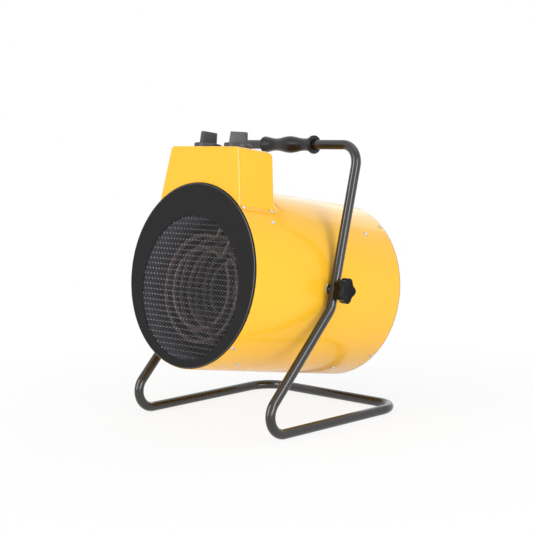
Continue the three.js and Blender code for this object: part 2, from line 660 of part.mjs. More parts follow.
// ---------------------------------------------------------------- heating elements
// A tail runs in beside the terminal line, bends into the outer loop, and each loop turns
// back inside itself into the next one, until the other tail runs out again.
function elementStations(loops, depth) {
  const point = (angle, radius) => terminal.clone().multiplyScalar(radius * Math.cos(angle))
    .addScaledVector(terminalSide, radius * Math.sin(angle)).setY(depth);
  const stations = [];
  const arc = (centre, radius, from, to, steps) => {
    for (let i = 0; i <= steps; i++) {
      const angle = from + ((to - from) * i) / steps;
      const turning = Math.sign(to - from);
      const ahead = point(angle + (turning * Math.PI) / 2, 1).setY(0);
      const place = centre.clone().add(point(angle, radius).setY(0)).setY(depth);
      stations.push({ point: place, tangent: ahead });
    }
  };
  const middle = new THREE.Vector3(0, depth, 0);
  const tail = (offset) => terminal.clone().multiplyScalar(TAIL_REACH)
    .addScaledVector(terminalSide, offset).setY(depth);
  const turnBack = radians(32); // how far from the terminals the outer loop stops
  const innerTurn = radians(12);

  stations.push({ point: tail(TAIL_OFFSET), tangent: terminal.clone().negate() });
  const inReach = loops[0] + ELEMENT_BEND;
  const inAngle = Math.asin((TAIL_OFFSET + ELEMENT_BEND) / inReach);
  arc(point(inAngle, inReach), ELEMENT_BEND, -Math.PI / 2, -Math.PI + inAngle, 3);
  let angle = inAngle;
  loops.forEach((radius, i) => {
    const forward = i % 2 === 0;
    const last = i === loops.length - 1;
    const outReach = radius + ELEMENT_BEND;
    const outOffset = forward ? TAIL_OFFSET + ELEMENT_BEND : TAIL_OFFSET - ELEMENT_BEND;
    const stop = last ? -Math.asin(outOffset / outReach) : forward ? -turnBack : innerTurn;
    const end = forward ? 2 * Math.PI + stop : stop;
    arc(middle, radius, angle, end, i === 0 ? 18 : 16);
    stations.pop();
    if (last) {
      const centre = point(stop, outReach);
      if (forward) arc(centre, ELEMENT_BEND, stop + Math.PI, Math.PI / 2, 3);
      else arc(centre, ELEMENT_BEND, stop - Math.PI, -Math.PI / 2, 3);
    } else {
      const step = (radius - loops[i + 1]) / 2;
      const half = forward ? Math.PI : -Math.PI;
      arc(point(stop, radius - step), step, stop, stop + half, 5);
      stations.pop();
      angle = forward ? 2 * Math.PI + stop : stop;
    }
  });
  stations.push({ point: tail(-TAIL_OFFSET), tangent: terminal.clone() });
  return stations;
}
ELEMENT_DEPTHS.forEach((depth, i) => {
  const stations = elementStations(LOOP_RADII.slice(0, ELEMENT_LOOPS[i]), depth);
  const section = polygon(ELEMENT_RADIUS, ELEMENT_SIDES, 0);
  addPiece(core, `heating_element_${i + 1}`, sweep(stations, section), elementSteel);
});

// A saddle on the duct, which the element tails pass through.
function terminalPlate() {
  const steps = 4;
  const inner = (DUCT_RADIUS + GAP) / Math.cos(radians(TERMINAL_SPAN / steps));
  const shape = sector(inner, inner + TERMINAL_SHEET,
    TERMINAL_ANGLE - TERMINAL_SPAN, TERMINAL_ANGLE + TERMINAL_SPAN, steps);
  let plate = solid(plateAcross(shape, tailRow.from - 4, tailRow.to + 4));
  for (const depth of ELEMENT_DEPTHS) {
    for (const side of [-1, 1]) {
      const centre = terminal.clone().multiplyScalar(DUCT_RADIUS)
        .addScaledVector(terminalSide, side * TAIL_OFFSET).setY(depth);
      plate = plate.subtract(drill(ELEMENT_RADIUS + 3 * GAP, 2 * TAIL_OUT, centre, terminal));
    }
  }
  return geometryOf(plate);
}
addPiece(core, "terminal_plate", terminalPlate(), zincPlate);

// A flat strip along the duct with a hole for each loop that passes through it.
function elementSupport(turn) {
  const outer = DUCT_RADIUS - DUCT_SHEET - 2 * GAP;
  const out = terminal.clone().multiplyScalar(Math.cos(radians(turn)))
    .addScaledVector(terminalSide, Math.sin(radians(turn)));
  const throughSheet = new THREE.Vector3(-out.z, 0, out.x);
  const shape = new THREE.Shape([
    [SUPPORT_REACH, tailRow.from], [outer, tailRow.from], [outer, tailRow.to],
    [SUPPORT_REACH, tailRow.to],
  ].map(([radius, depth]) => new THREE.Vector2(radius, depth)));
  const sheet = new THREE.ExtrudeGeometry(shape, { depth: SUPPORT_SHEET, bevelEnabled: false })
    .translate(0, 0, -SUPPORT_SHEET / 2);
  const frame = new THREE.Matrix4().makeBasis(out, new THREE.Vector3(0, 1, 0), throughSheet);
  let strip = solid(sheet.applyMatrix4(frame));
  ELEMENT_LOOPS.forEach((loops, i) => {
    for (const radius of LOOP_RADII.slice(0, loops)) {
      const centre = out.clone().multiplyScalar(radius).setY(ELEMENT_DEPTHS[i]);
      strip = strip.subtract(drill(SUPPORT_HOLE, 8 * SUPPORT_SHEET, centre, throughSheet));
    }
  });
  return geometryOf(strip);
}
for (const [side, turn] of Object.entries(SUPPORT_ANGLES)) {
  addPiece(core, `element_support_${side}`, elementSupport(turn), zincPlate);
}

function thermalCutout() {
  const base = DUCT_RADIUS + GAP;
  const body = revolve([
    [0, base], [CUTOUT_RADIUS * 1.2, base], [CUTOUT_RADIUS * 1.2, base + 2], [CUTOUT_RADIUS, base + 2],
    [CUTOUT_RADIUS, base + CUTOUT_HEIGHT], [0, base + CUTOUT_HEIGHT],
  ], 14);
  return body.rotateX(Math.PI / 2).translate(0, CUTOUT_DEPTH, 0);
}
addPiece(core, "thermal_cutout", thermalCutout(), controlPlastic);

// ---------------------------------------------------------------- fan and motor
// The casing lies along Y and takes the shaft in a blind bore.
function fanMotor() {
  const bore = SHAFT_RADIUS + 2 * GAP;
  const casing = MOTOR_FRONT + MOTOR_NOSE;
  const end = MOTOR_FRONT + MOTOR_LENGTH;
  const body = solid(revolve([
    [0, MOTOR_FRONT], [MOTOR_RADIUS * 0.6, MOTOR_FRONT], [MOTOR_RADIUS * 0.66, casing],
    [MOTOR_RADIUS * 0.94, casing + MOTOR_CROWN * 0.3], [MOTOR_RADIUS, casing + MOTOR_CROWN],
    [MOTOR_RADIUS, end - MOTOR_CROWN * 1.7], [MOTOR_RADIUS * 0.9, end - MOTOR_CROWN * 0.7],
    [MOTOR_RADIUS * 0.4, end], [0, end],
  ], 24));
  const hole = new THREE.Vector3(0, MOTOR_FRONT, 0);
  const cut = solid(roundBar(bore, 2 * MOTOR_BORE_DEPTH, STUD_SIDES, hole, new THREE.Vector3(0, 1, 0)));
  return geometryOf(body.subtract(cut));
}
addPiece(core, "fan_motor", fanMotor(), aluminium);

// A ring clamped round the motor, with four arms folded onto the drum's wall.
function motorBracket() {
  const wallReach = padRadius(SPIDER_ARM / 2, SPIDER_SHEET);
  const from = MOTOR_CLAMP_DEPTH - SPIDER_ARM / 2;
  const centre = new THREE.Vector3(0, from + SPIDER_SHEET / 2, -OPENING_DROP);
  const alongAxis = new THREE.Vector3(0, 1, 0);
  const ringRadius = MOTOR_RADIUS + GAP + SPIDER_RING;
  const pieces = [solid(roundBar(ringRadius, SPIDER_SHEET, 24, centre, alongAxis))];
  for (const level of [MOTOR_SCREWS.upper, MOTOR_SCREWS.lower]) {
    for (const angle of [level, 180 - level]) {
      const wall = radial(angle).multiplyScalar(wallReach);
      const arm = new THREE.Vector2(wall.x, wall.z + OPENING_DROP);
      const bar = new THREE.BoxGeometry(arm.length(), SPIDER_SHEET, SPIDER_ARM)
        .translate(arm.length() / 2, 0, 0).rotateY(-arm.angle())
        .translate(centre.x, centre.y, centre.z);
      const pad = new THREE.BoxGeometry(SPIDER_SHEET, SPIDER_ARM, SPIDER_ARM)
        .rotateY(-radians(angle)).translate(wall.x, MOTOR_CLAMP_DEPTH, wall.z);
      pieces.push(solid(bar), solid(pad));
    }
  }
  const reach = solid(roundBar(
    SKIRT_RADIUS, 4 * SPIDER_ARM, DRUM_SIDES, new THREE.Vector3(0, from, 0), alongAxis));
  const clamp = solid(roundBar(MOTOR_RADIUS + GAP, 4 * SPIDER_ARM, 24, centre, alongAxis));
  return withScrewHoles(wasm.Manifold.union(pieces).intersect(reach).subtract(clamp), "motor");
}
addPiece(drum, "motor_bracket", geometryOf(motorBracket()), zincPlate);

// One blade: a thin sheet whose chord and pitch change from root to tip, as a closed skin.
function fanBlade(turn) {
  const rings = 4;
  const chords = 2;
  const positions = [];
  const at = (i, j, face) => (i * (chords + 1) + j) * 2 + face;
  for (let i = 0; i <= rings; i++) {
    const share = i / rings;
    const radius = THREE.MathUtils.lerp(FAN_HUB_RADIUS * 0.7, FAN_RADIUS, share);
    const chord = THREE.MathUtils.lerp(FAN_ROOT_CHORD, FAN_TIP_CHORD, Math.sqrt(share));
    const pitch = radians(THREE.MathUtils.lerp(FAN_ROOT_PITCH, FAN_TIP_PITCH, share));
    for (let j = 0; j <= chords; j++) {
      const along = (j / chords - 0.5) * chord * (1 - 0.25 * share ** 6);
      const camber = 0.06 * chord * (1 - (2 * j / chords - 1) ** 2);
      for (const face of [-0.5, 0.5]) {
        const lift = camber + face * BLADE_SHEET;
        const arcLength = along * Math.cos(pitch) - lift * Math.sin(pitch);
        const angle = turn + arcLength / Math.max(radius, FAN_HUB_RADIUS);
        positions.push(
          radius * Math.cos(angle),
          FAN_DEPTH + along * Math.sin(pitch) + lift * Math.cos(pitch),
          radius * Math.sin(angle));
      }
    }
  }
  const index = [];
  const quad = (a, b, c, d) => index.push(a, b, c, a, c, d);
  for (let i = 0; i < rings; i++) {
    for (let j = 0; j < chords; j++) {
      quad(at(i, j, 0), at(i + 1, j, 0), at(i + 1, j + 1, 0), at(i, j + 1, 0));
      quad(at(i, j, 1), at(i, j + 1, 1), at(i + 1, j + 1, 1), at(i + 1, j, 1));
    }
    quad(at(i, 0, 0), at(i, 0, 1), at(i + 1, 0, 1), at(i + 1, 0, 0));
    quad(at(i, chords, 1), at(i, chords, 0), at(i + 1, chords, 0), at(i + 1, chords, 1));
  }
  for (let j = 0; j < chords; j++) {
    quad(at(0, j, 1), at(0, j, 0), at(0, j + 1, 0), at(0, j + 1, 1));
    quad(at(rings, j, 0), at(rings, j, 1), at(rings, j + 1, 1), at(rings, j + 1, 0));
  }
  const geometry = new THREE.BufferGeometry();
  geometry.setAttribute("position", new THREE.Float32BufferAttribute(positions, 3));
  geometry.setIndex(index);
  return geometry;
}

function fanImpeller() {
  const axis = new THREE.Vector3(0, 1, 0);
  const middle = new THREE.Vector3(0, FAN_DEPTH, 0);
  const pieces = [solid(roundBar(FAN_HUB_RADIUS, FAN_HUB_LENGTH, 20, middle, axis))];
  for (let i = 0; i < FAN_BLADES; i++) pieces.push(solid(fanBlade((2 * Math.PI * i) / FAN_BLADES)));
  const bore = solid(roundBar(SHAFT_RADIUS + 2 * GAP, 4 * FAN_HUB_LENGTH, STUD_SIDES, middle, axis));
  return geometryOf(wasm.Manifold.union(pieces).subtract(bore));
}
addPiece(core, "fan_impeller", fanImpeller(), aluminium);

const shaftEnd = MOTOR_FRONT + MOTOR_BORE_DEPTH - GAP;
const nutDepth = FAN_DEPTH - FAN_HUB_LENGTH / 2 - GAP;
const nutBore = boreCorner(SHAFT_RADIUS + GAP, 6);
const shaftStart = nutDepth - NUT_HEIGHT - 4;
addPiece(core, "motor_shaft", revolve([
  [0, shaftStart], [SHAFT_RADIUS, shaftStart + 1], [SHAFT_RADIUS, shaftEnd], [0, shaftEnd],
], STUD_SIDES), zincPlate);
addPiece(core, "fan_nut", revolve([
  [nutBore, nutDepth - NUT_HEIGHT], [NUT_RADIUS, nutDepth - NUT_HEIGHT],
  [NUT_RADIUS, nutDepth], [nutBore, nutDepth],
], 6), zincPlate);

// ---------------------------------------------------------------- control box
// Half the box's width at a height above the drum's axis, drawn in by `inset` all round.
function boxHalfWidth(height, inset) {
  const slope = radians(BOX_SIDE_SLOPE);
  return BOX_TOP_HALF_WIDTH + (BOX_TOP - height) * Math.tan(slope) - inset / Math.cos(slope);
}

// The box from the front: sloping sides and a flat top with bent edges; it runs down into
// the drum, which is cut away afterwards.
function boxFrontShape(inset) {
  const slope = radians(BOX_SIDE_SLOPE);
  const top = BOX_TOP - inset;
  const bend = BOX_EDGE - inset;
  const foot = DRUM_RADIUS * 0.6;
  const bendX = boxHalfWidth(top - bend, inset) - bend / Math.cos(slope);
  const shape = new THREE.Shape();
  shape.moveTo(boxHalfWidth(foot, inset), foot);
  shape.lineTo(bendX + bend * Math.cos(slope), top - bend + bend * Math.sin(slope));
  shape.absarc(bendX, top - bend, bend, slope, Math.PI / 2, false);
  shape.absarc(-bendX, top - bend, bend, Math.PI / 2, Math.PI - slope, false);
  shape.lineTo(-boxHalfWidth(foot, inset), foot);
  return shape;
}

// The box from the side, rounded where the top turns down into the rear wall.
function boxSideShape(inset, from) {
  const top = BOX_TOP - inset;
  const rear = BOX_DEPTH - inset;
  const bend = BOX_REAR_EDGE - inset;
  const foot = DRUM_RADIUS * 0.5;
  const shape = new THREE.Shape();
  shape.moveTo(from, foot);
  shape.lineTo(rear, foot);
  shape.absarc(rear - bend, top - bend, bend, 0, Math.PI / 2, false);
  shape.lineTo(from, top);
  return shape;
}

function boxBlock(inset, from) {
  const options = { curveSegments: 3, bevelEnabled: false };
  const front = new THREE.ExtrudeGeometry(boxFrontShape(inset), { depth: 2 * BOX_DEPTH, ...options });
  front.rotateX(Math.PI / 2).translate(0, 2 * BOX_DEPTH - SHEET, 0);
  const width = 3 * BOX_TOP_HALF_WIDTH;
  const side = new THREE.ExtrudeGeometry(boxSideShape(inset, from), { depth: width, ...options });
  return solid(front).intersect(solid(layAlongX(side).translate(-width / 2, 0, 0)));
}

const drumClear = solid(roundBar(DRUM_RADIUS + GAP, 3 * DRUM_LENGTH, DRUM_SIDES,
  new THREE.Vector3(), new THREE.Vector3(0, 1, 0)));
const boxStart = SHEET + GAP; // the cover is in front of this

// A band of sheet on the drum between two angles.
function boxFlange(lowAngle, highAngle, from, to) {
  const inner = DRUM_RADIUS + GAP;
  const band = solid(revolve(
    [[inner, from], [inner + SHEET, from], [inner + SHEET, to], [inner, to]], DRUM_SIDES));
  const wedge = sector(DRUM_RADIUS * 0.8, DRUM_RADIUS * 1.2, lowAngle, highAngle, 12);
  return band.intersect(solid(plateAcross(wedge, from - 1, to + 1)));
}

const knobPlace = (side) => new THREE.Vector3(side * KNOB_SPREAD, KNOB_DEPTH, BOX_TOP);
const glandCentre = new THREE.Vector3(GLAND_SIDE, BOX_DEPTH, GLAND_HEIGHT);
const upright = new THREE.Vector3(0, 0, 1);

function controlBoxBody() {
  const rearFrom = BOX_DEPTH - SHEET;
  const rearTo = BOX_DEPTH + REAR_FLANGE;
  const low = FOOT_ANGLE - FLANGE_SPAN;
  const high = FOOT_ANGLE + FLANGE_LAP;
  let body = wasm.Manifold.union([
    boxBlock(0, boxStart),
    boxFlange(low, high, boxStart, BOX_DEPTH),
    boxFlange(180 - high, 180 - low, boxStart, BOX_DEPTH),
    boxFlange(FOOT_ANGLE, 180 - FOOT_ANGLE, rearFrom, rearTo),
  ]).subtract(boxBlock(SHEET, -SHEET)).subtract(drumClear);
  for (const side of Object.values(SIDES)) {
    body = body.subtract(drill(SPINDLE_RADIUS + 1, 4 * BOX_EDGE, knobPlace(side), upright, 8));
  }
  const inlet = roundBar(
    GLAND_THREAD + 2 * GAP, 4 * BOX_EDGE, 16, glandCentre, new THREE.Vector3(0, 1, 0));
  return geometryOf(withScrewHoles(body.subtract(solid(inlet)), "box"));
}
addPiece(drum, "control_box_body", controlBoxBody(), yellowPaint);

// Front cover: a plate cut round the drum, with its edges folded back inside the box.
function controlBoxFront() {
  const plate = solid(plateAcross(boxFrontShape(0), 0, SHEET));
  const inset = SHEET + GAP;
  const fold = solid(plateAcross(boxFrontShape(inset), 0, boxStart + FRONT_RETURN));
  const hollow = solid(plateAcross(boxFrontShape(inset + SHEET), SHEET, 2 * FRONT_RETURN));
  return geometryOf(plate.add(fold).subtract(hollow).subtract(drumClear));
}
addPiece(drum, "control_box_front", controlBoxFront(), yellowPaint);

// ---------------------------------------------------------------- controls
const spindleTop = BOX_TOP + GAP + KNOB_BASE + KNOB_BAR_HEIGHT * 0.4;
const controlTop = BOX_TOP - SHEET - GAP;
const spindleFoot = controlTop - CONTROL_HEIGHT * 0.4;

// Round skirt with a tall bar across it; the bar narrows towards its top.
function controlKnob() {
  const skirt = revolve([
    [0, 0], [KNOB_RADIUS, 0], [KNOB_RADIUS, KNOB_BASE * 0.4], [KNOB_RADIUS * 0.95, KNOB_BASE * 0.7],
    [KNOB_RADIUS * 0.6, KNOB_BASE], [0, KNOB_BASE],
  ], 24).rotateX(Math.PI / 2);
  const top = KNOB_BASE + KNOB_BAR_HEIGHT;
  const side = new THREE.Shape([
    [-KNOB_BAR_LENGTH / 2, KNOB_BASE / 2], [KNOB_BAR_LENGTH / 2, KNOB_BASE / 2],
    [KNOB_BAR_TOP / 2, top], [-KNOB_BAR_TOP / 2, top],
  ].map(([x, y]) => new THREE.Vector2(x, y)));
  const edge = 0.8;
  const bar = new THREE.ExtrudeGeometry(side, {
    depth: KNOB_BAR_THICKNESS - 2 * edge, bevelThickness: edge, bevelSize: edge,
    bevelOffset: -edge, bevelSegments: 1,
  });
  bar.translate(0, 0, edge - KNOB_BAR_THICKNESS / 2).rotateX(Math.PI / 2);
  const boreLength = 2 * (spindleTop - BOX_TOP);
  const bore = drill(SPINDLE_RADIUS + 3 * GAP, boreLength, new THREE.Vector3(), upright, 8);
  return geometryOf(solid(skirt).add(solid(bar)).subtract(bore));
}

// Moulded body under the box's top, with a blind bore for the spindle.
function controlBody(sides) {
  const radius = CONTROL_BODY / 2 / Math.cos(Math.PI / sides);
  const block = new THREE.ExtrudeGeometry(polygon(radius, sides, Math.PI / sides), {
    depth: CONTROL_HEIGHT, bevelEnabled: false,
  }).translate(0, 0, controlTop - CONTROL_HEIGHT);
  const top = new THREE.Vector3(0, 0, controlTop);
  const bore = drill(SPINDLE_RADIUS + 3 * GAP, CONTROL_HEIGHT, top, upright, 8);
  return geometryOf(solid(block).subtract(bore));
}

const spindle = () =>
  new THREE.CylinderGeometry(SPINDLE_RADIUS, SPINDLE_RADIUS, spindleTop - spindleFoot, 8)
    .rotateX(Math.PI / 2).translate(0, 0, (spindleTop + spindleFoot) / 2 - BOX_TOP);

const controls = [
  { name: "thermostat", side: SIDES.left, turn: THERMOSTAT_TURN, body: "thermostat_body", sides: 8 },
  { name: "switch", side: SIDES.right, turn: SWITCH_TURN, body: "rotary_switch_body", sides: 4 },
];
for (const control of controls) {
  const place = knobPlace(control.side);
  const knob = addPiece(drum, `${control.name}_knob`, controlKnob(), knobPlastic);
  knob.position.copy(place).setZ(place.z + GAP);
  knob.rotation.z = radians(control.turn);
  const shaft = addPiece(drum, `${control.name}_spindle`, spindle(), zincPlate);
  shaft.position.copy(place);
  const body = addPiece(drum, control.body, controlBody(control.sides), controlPlastic);
  body.position.set(place.x, place.y, 0);
}

// A row of screw terminals against the box's rear wall: one step in the section for the wires.
function terminalBlock() {
  const rear = BOX_DEPTH - SHEET - GAP;
  const front = rear - BLOCK_DEPTH;
  const foot = GLAND_HEIGHT - GLAND_RADIUS - BLOCK_HEIGHT - 4;
  const step = BLOCK_HEIGHT / 3;
  const section = new THREE.Shape([
    [front, foot], [rear, foot], [rear, foot + BLOCK_HEIGHT - step], [rear - 4, foot + BLOCK_HEIGHT],
    [front + 4, foot + BLOCK_HEIGHT], [front, foot + BLOCK_HEIGHT - step],
  ].map(([x, y]) => new THREE.Vector2(x, y)));
  let block = solid(plateAlong(section, -BLOCK_WIDTH / 2, BLOCK_WIDTH / 2));
  for (let i = 0; i < BLOCK_POLES; i++) {
    const x = ((i + 0.5) / BLOCK_POLES - 0.5) * BLOCK_WIDTH;
    const centre = new THREE.Vector3(x, (front + rear) / 2, foot + BLOCK_HEIGHT);
    block = block.subtract(drill(BLOCK_HOLE, BLOCK_HEIGHT, centre, upright));
  }
  return geometryOf(block);
}
addPiece(drum, "terminal_block", terminalBlock(), controlPlastic);

// Cable gland: a threaded body through the rear wall with a hexagon and a domed nut, bored
// for the cable, and a lock nut inside the wall.
function cableGland() {
  const inside = BOX_DEPTH - SHEET - 8;
  const seat = BOX_DEPTH + GAP;
  const barrel = solid(revolve([
    [0, inside], [GLAND_THREAD, inside], [GLAND_THREAD, seat], [GLAND_RADIUS, seat],
    [GLAND_RADIUS, seat + 12], [GLAND_RADIUS * 0.85, seat + 17], [GLAND_BORE + 2, seat + 19],
    [0, seat + 19],
  ], 16));
  const middle = new THREE.Vector3(0, seat + 3, 0);
  const along = new THREE.Vector3(0, 1, 0);
  const hexagon = solid(roundBar(GLAND_HEXAGON, 6, 6, middle, along));
  const bore = solid(roundBar(GLAND_BORE, 4 * REAR_FLANGE, STUD_SIDES, middle, along));
  return geometryOf(barrel.add(hexagon).subtract(bore));
}
const glandAxis = new THREE.Vector3(GLAND_SIDE, 0, GLAND_HEIGHT);
addPiece(drum, "cable_gland", cableGland(), controlPlastic).position.copy(glandAxis);
const lockNut = BOX_DEPTH - SHEET - GAP;
const lockNutBore = boreCorner(GLAND_THREAD + GAP, 6);
addPiece(drum, "cable_gland_nut", revolve([
  [lockNutBore, lockNut - LOCK_NUT_HEIGHT], [GLAND_HEXAGON, lockNut - LOCK_NUT_HEIGHT],
  [GLAND_HEXAGON, lockNut], [lockNutBore, lockNut],
], 6), controlPlastic).position.copy(glandAxis);

// ---------------------------------------------------------------- tilt clamps
// Built for the right side along +X from the pivot, and turned half round for the left.
const tubeFace = STAND_HALF_WIDTH + TUBE_RADIUS;
const bossStart = tubeFace + GAP;
const starStart = bossStart + STAR_BOSS;
const studEnd = starStart + STAR_THICKNESS * 0.6;
const alongX = (geometry) => geometry.rotateZ(-Math.PI / 2);

function starKnob() {
  const points = [];
  const steps = STAR_LOBES * 5;
  for (let i = 0; i < steps; i++) {
    const angle = (2 * Math.PI * i) / steps;
    const radius = STAR_RADIUS - STAR_BEVEL + STAR_LOBE * Math.cos(STAR_LOBES * angle);
    points.push(new THREE.Vector2(radius * Math.cos(angle), radius * Math.sin(angle)));
  }
  const star = new THREE.ExtrudeGeometry(new THREE.Shape(points), {
    depth: STAR_THICKNESS - 2 * STAR_BEVEL, bevelThickness: STAR_BEVEL, bevelSize: STAR_BEVEL,
    bevelSegments: 1,
  });
  layAlongX(star).translate(starStart + STAR_BEVEL, 0, 0);
  const boss = alongX(revolve([
    [0, bossStart], [STAR_BOSS_RADIUS, bossStart], [STAR_BOSS_RADIUS * 1.2, starStart + STAR_BEVEL],
    [0, starStart + STAR_BEVEL],
  ], 14));
  const bore = drill(STUD_HOLE, 2 * (studEnd + GAP), new THREE.Vector3(), pivotAxis, STUD_SIDES);
  return geometryOf(solid(star).add(solid(boss)).subtract(bore));
}

// The nut's and the washer's flat ends keep clear of the round wall that they sit on.
const sag = (radius, wall) => wall - Math.sqrt(wall * wall - radius * radius);
const nutFace = DRUM_INSIDE - GAP - sag(PIVOT_NUT_RADIUS, DRUM_INSIDE);
const washerEnd = STAND_HALF_WIDTH - TUBE_RADIUS - GAP;
const studStart = nutFace - PIVOT_NUT_LENGTH;
function ringAlongX(outer, from, to, sides) {
  const bore = boreCorner(STUD_RADIUS + GAP, sides);
  return alongX(revolve([[bore, from], [outer, from], [outer, to], [bore, to]], sides));
}

for (const [side, sign] of Object.entries(SIDES)) {
  const clamp = new THREE.Group();
  clamp.position.copy(pivotInDrum);
  if (sign < 0) clamp.rotation.y = Math.PI;
  drum.add(clamp);
  addPiece(clamp, `star_knob_${side}`, starKnob(), starPlastic);
  const stud = revolve([
    [0, studStart], [STUD_RADIUS, studStart], [STUD_RADIUS, studEnd], [0, studEnd],
  ], STUD_SIDES);
  addPiece(clamp, `star_stud_${side}`, alongX(stud), zincPlate);
  const washer = ringAlongX(WASHER_RADIUS, DRUM_RADIUS + GAP, washerEnd, 16);
  addPiece(clamp, `pivot_washer_${side}`, washer, zincPlate);
  addPiece(clamp, `pivot_nut_${side}`, ringAlongX(PIVOT_NUT_RADIUS, studStart, nutFace, 6), zincPlate);
}

// The origin is on the ground under the middle of the whole heater's box.
const middle = new THREE.Box3().setFromObject(heater, true).getCenter(new THREE.Vector3());
heater.position.y = -middle.y;

export default heater;
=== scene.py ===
import json
import math

import bmesh
import bpy
import numpy as np
from mathutils import Matrix, Vector


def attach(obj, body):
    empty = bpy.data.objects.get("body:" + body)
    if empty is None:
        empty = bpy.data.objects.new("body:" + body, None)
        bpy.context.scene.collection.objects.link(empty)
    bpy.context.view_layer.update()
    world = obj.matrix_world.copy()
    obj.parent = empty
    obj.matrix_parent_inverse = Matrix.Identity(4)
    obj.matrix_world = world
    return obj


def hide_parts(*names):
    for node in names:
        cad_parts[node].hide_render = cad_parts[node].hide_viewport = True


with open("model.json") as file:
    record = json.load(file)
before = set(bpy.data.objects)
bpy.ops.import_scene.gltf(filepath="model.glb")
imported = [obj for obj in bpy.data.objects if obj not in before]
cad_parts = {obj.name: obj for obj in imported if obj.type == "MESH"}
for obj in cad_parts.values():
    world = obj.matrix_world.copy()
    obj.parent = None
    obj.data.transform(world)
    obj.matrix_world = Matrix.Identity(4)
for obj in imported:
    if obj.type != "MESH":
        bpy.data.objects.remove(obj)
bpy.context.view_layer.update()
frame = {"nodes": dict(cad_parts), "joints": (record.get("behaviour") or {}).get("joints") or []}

# Forced air heater: the finished surfaces and finishes of the drum heater in its tube stand.
# Lengths are millimetres until a mesh is placed; then they are metres in the frame of the solids.
# On the drum, x is across, a is the depth behind the front edge and h the height over the axis.

NODES = frame["nodes"]
MM = 0.001
TAU = 2 * math.pi
POLE = 0.01  # a profile that closes over its axis ends this far from it
SIDES = (("right", 1), ("left", -1))
DEEP = np.array([0.0, 1, 0])

# ---- sizes
PIVOT = next(j for j in frame["joints"] if j["name"] == "drum_tilt")["pos_m"]
DRUM_TILT = math.radians(9.6)  # front raised
FRONT_TO_PIVOT = 164.5
DRUM_RADIUS = 150.0
DRUM_LENGTH = 340.0
SHEET = 1.2
GAP = 0.3

TUBE_RADIUS = 8.0
STAND_HALF_WIDTH = 160.5
PIVOT_HEIGHT = 223.0
LEG_LEAN = math.radians(16)
SHIN_LEAN = math.radians(44.6)
KNEE_DROP = 32.7
HANDLE_RISE = 239.0
REAR_BAR_DEPTH = 158.0
BENDS = [36.0, 30.0, 30.0, 45.0]  # handle, knee, foot, rear

OPENING_RADIUS = 116.0
OPENING_DROP = 19.0
RING_STAND = 3.2  # front ring's face in front of the drum's edge
RING_EDGE = DRUM_RADIUS - 0.5  # its rolled edge, inside the drum's outer face
RING_LIFT = 0.9  # its centre above the drum's axis, the play of its screws
RING_BEAD = 2.2
REAR_STAND = 1.0  # the rear ring lies almost flush in the drum's end
REAR_EDGE = DRUM_RADIUS - 0.2
REAR_BEAD = 0.5
SKIRT_RADIUS = DRUM_RADIUS - SHEET - GAP
RING_SKIRT = 14.0
RING_BACK = SHEET - RING_STAND
REAR_BACK = SHEET - REAR_STAND
BRACKET_ANGLES = (39.6, -63.0)  # the duct's brackets on the right side, from +X

# ---- camera
# Long lens on the heater's front left corner, a little above its middle.
CAMERA_AZIMUTH = math.radians(45.927)
CAMERA_ELEVATION = math.radians(6.345)
CAMERA_ROLL = math.radians(-1.261)
CAMERA_AIM = (0, PIVOT[1] / MM, 220)
CAMERA_SHIFT = (3.543, 29.975, 2365.03)  # across, up and back
CAMERA_LENS = 94.753
CAMERA_SENSOR = 36.0


def add_camera():
    """Turned by azimuth and elevation, rolled about its own axis, then moved across, up and
    back from where it aims."""
    place = Matrix.Translation(Vector(CAMERA_AIM) * MM)
    for angle, axis in ((CAMERA_AZIMUTH, "Z"), (math.pi / 2 - CAMERA_ELEVATION, "X"), (CAMERA_ROLL, "Z")):
        place = place @ Matrix.Rotation(angle, 4, axis)
    data = bpy.data.cameras.new("camera")
    data.lens = CAMERA_LENS
    data.sensor_width = CAMERA_SENSOR
    data.sensor_fit = "HORIZONTAL"
    data.clip_end = 50
    camera = bpy.data.objects.new("camera", data)
    camera.matrix_world = place @ Matrix.Translation(Vector(CAMERA_SHIFT) * MM)
    bpy.context.scene.collection.objects.link(camera)
    bpy.context.scene.camera = camera


add_camera()

# ---- placing


def points_of(*coordinates):
    """Points from their coordinates, each an array or one value for all."""
    return np.stack(np.broadcast_arrays(*coordinates), axis=-1)


def in_stand(points):
    """Points measured from the tilt pivot, unturned."""
    return points * MM + np.array(PIVOT)


def tilted(points):
    """Points measured from the pivot and turned about it by the drum's tilt."""
    x, y, z = np.moveaxis(points, -1, 0)
    c, s = math.cos(DRUM_TILT), math.sin(DRUM_TILT)
    return in_stand(points_of(x, y * c + z * s, z * c - y * s))


def in_drum(points):
    """Drum points x, a, h, turned with the drum."""
    return tilted(points - (0, FRONT_TO_PIVOT, 0))


def in_core(points):
    """Points about the axis of the duct and fan, which is below the drum's axis."""
    return in_drum(points - (0, 0, OPENING_DROP))


# ---- surfaces
ABOUT_X, ABOUT_DEPTH, ABOUT_HEIGHT = [1, 0, 2], [0, 1, 2], [0, 2, 1]
WELD = 2e-6  # metres


def unit(vectors):
    return vectors / np.linalg.norm(vectors, axis=-1, keepdims=True)


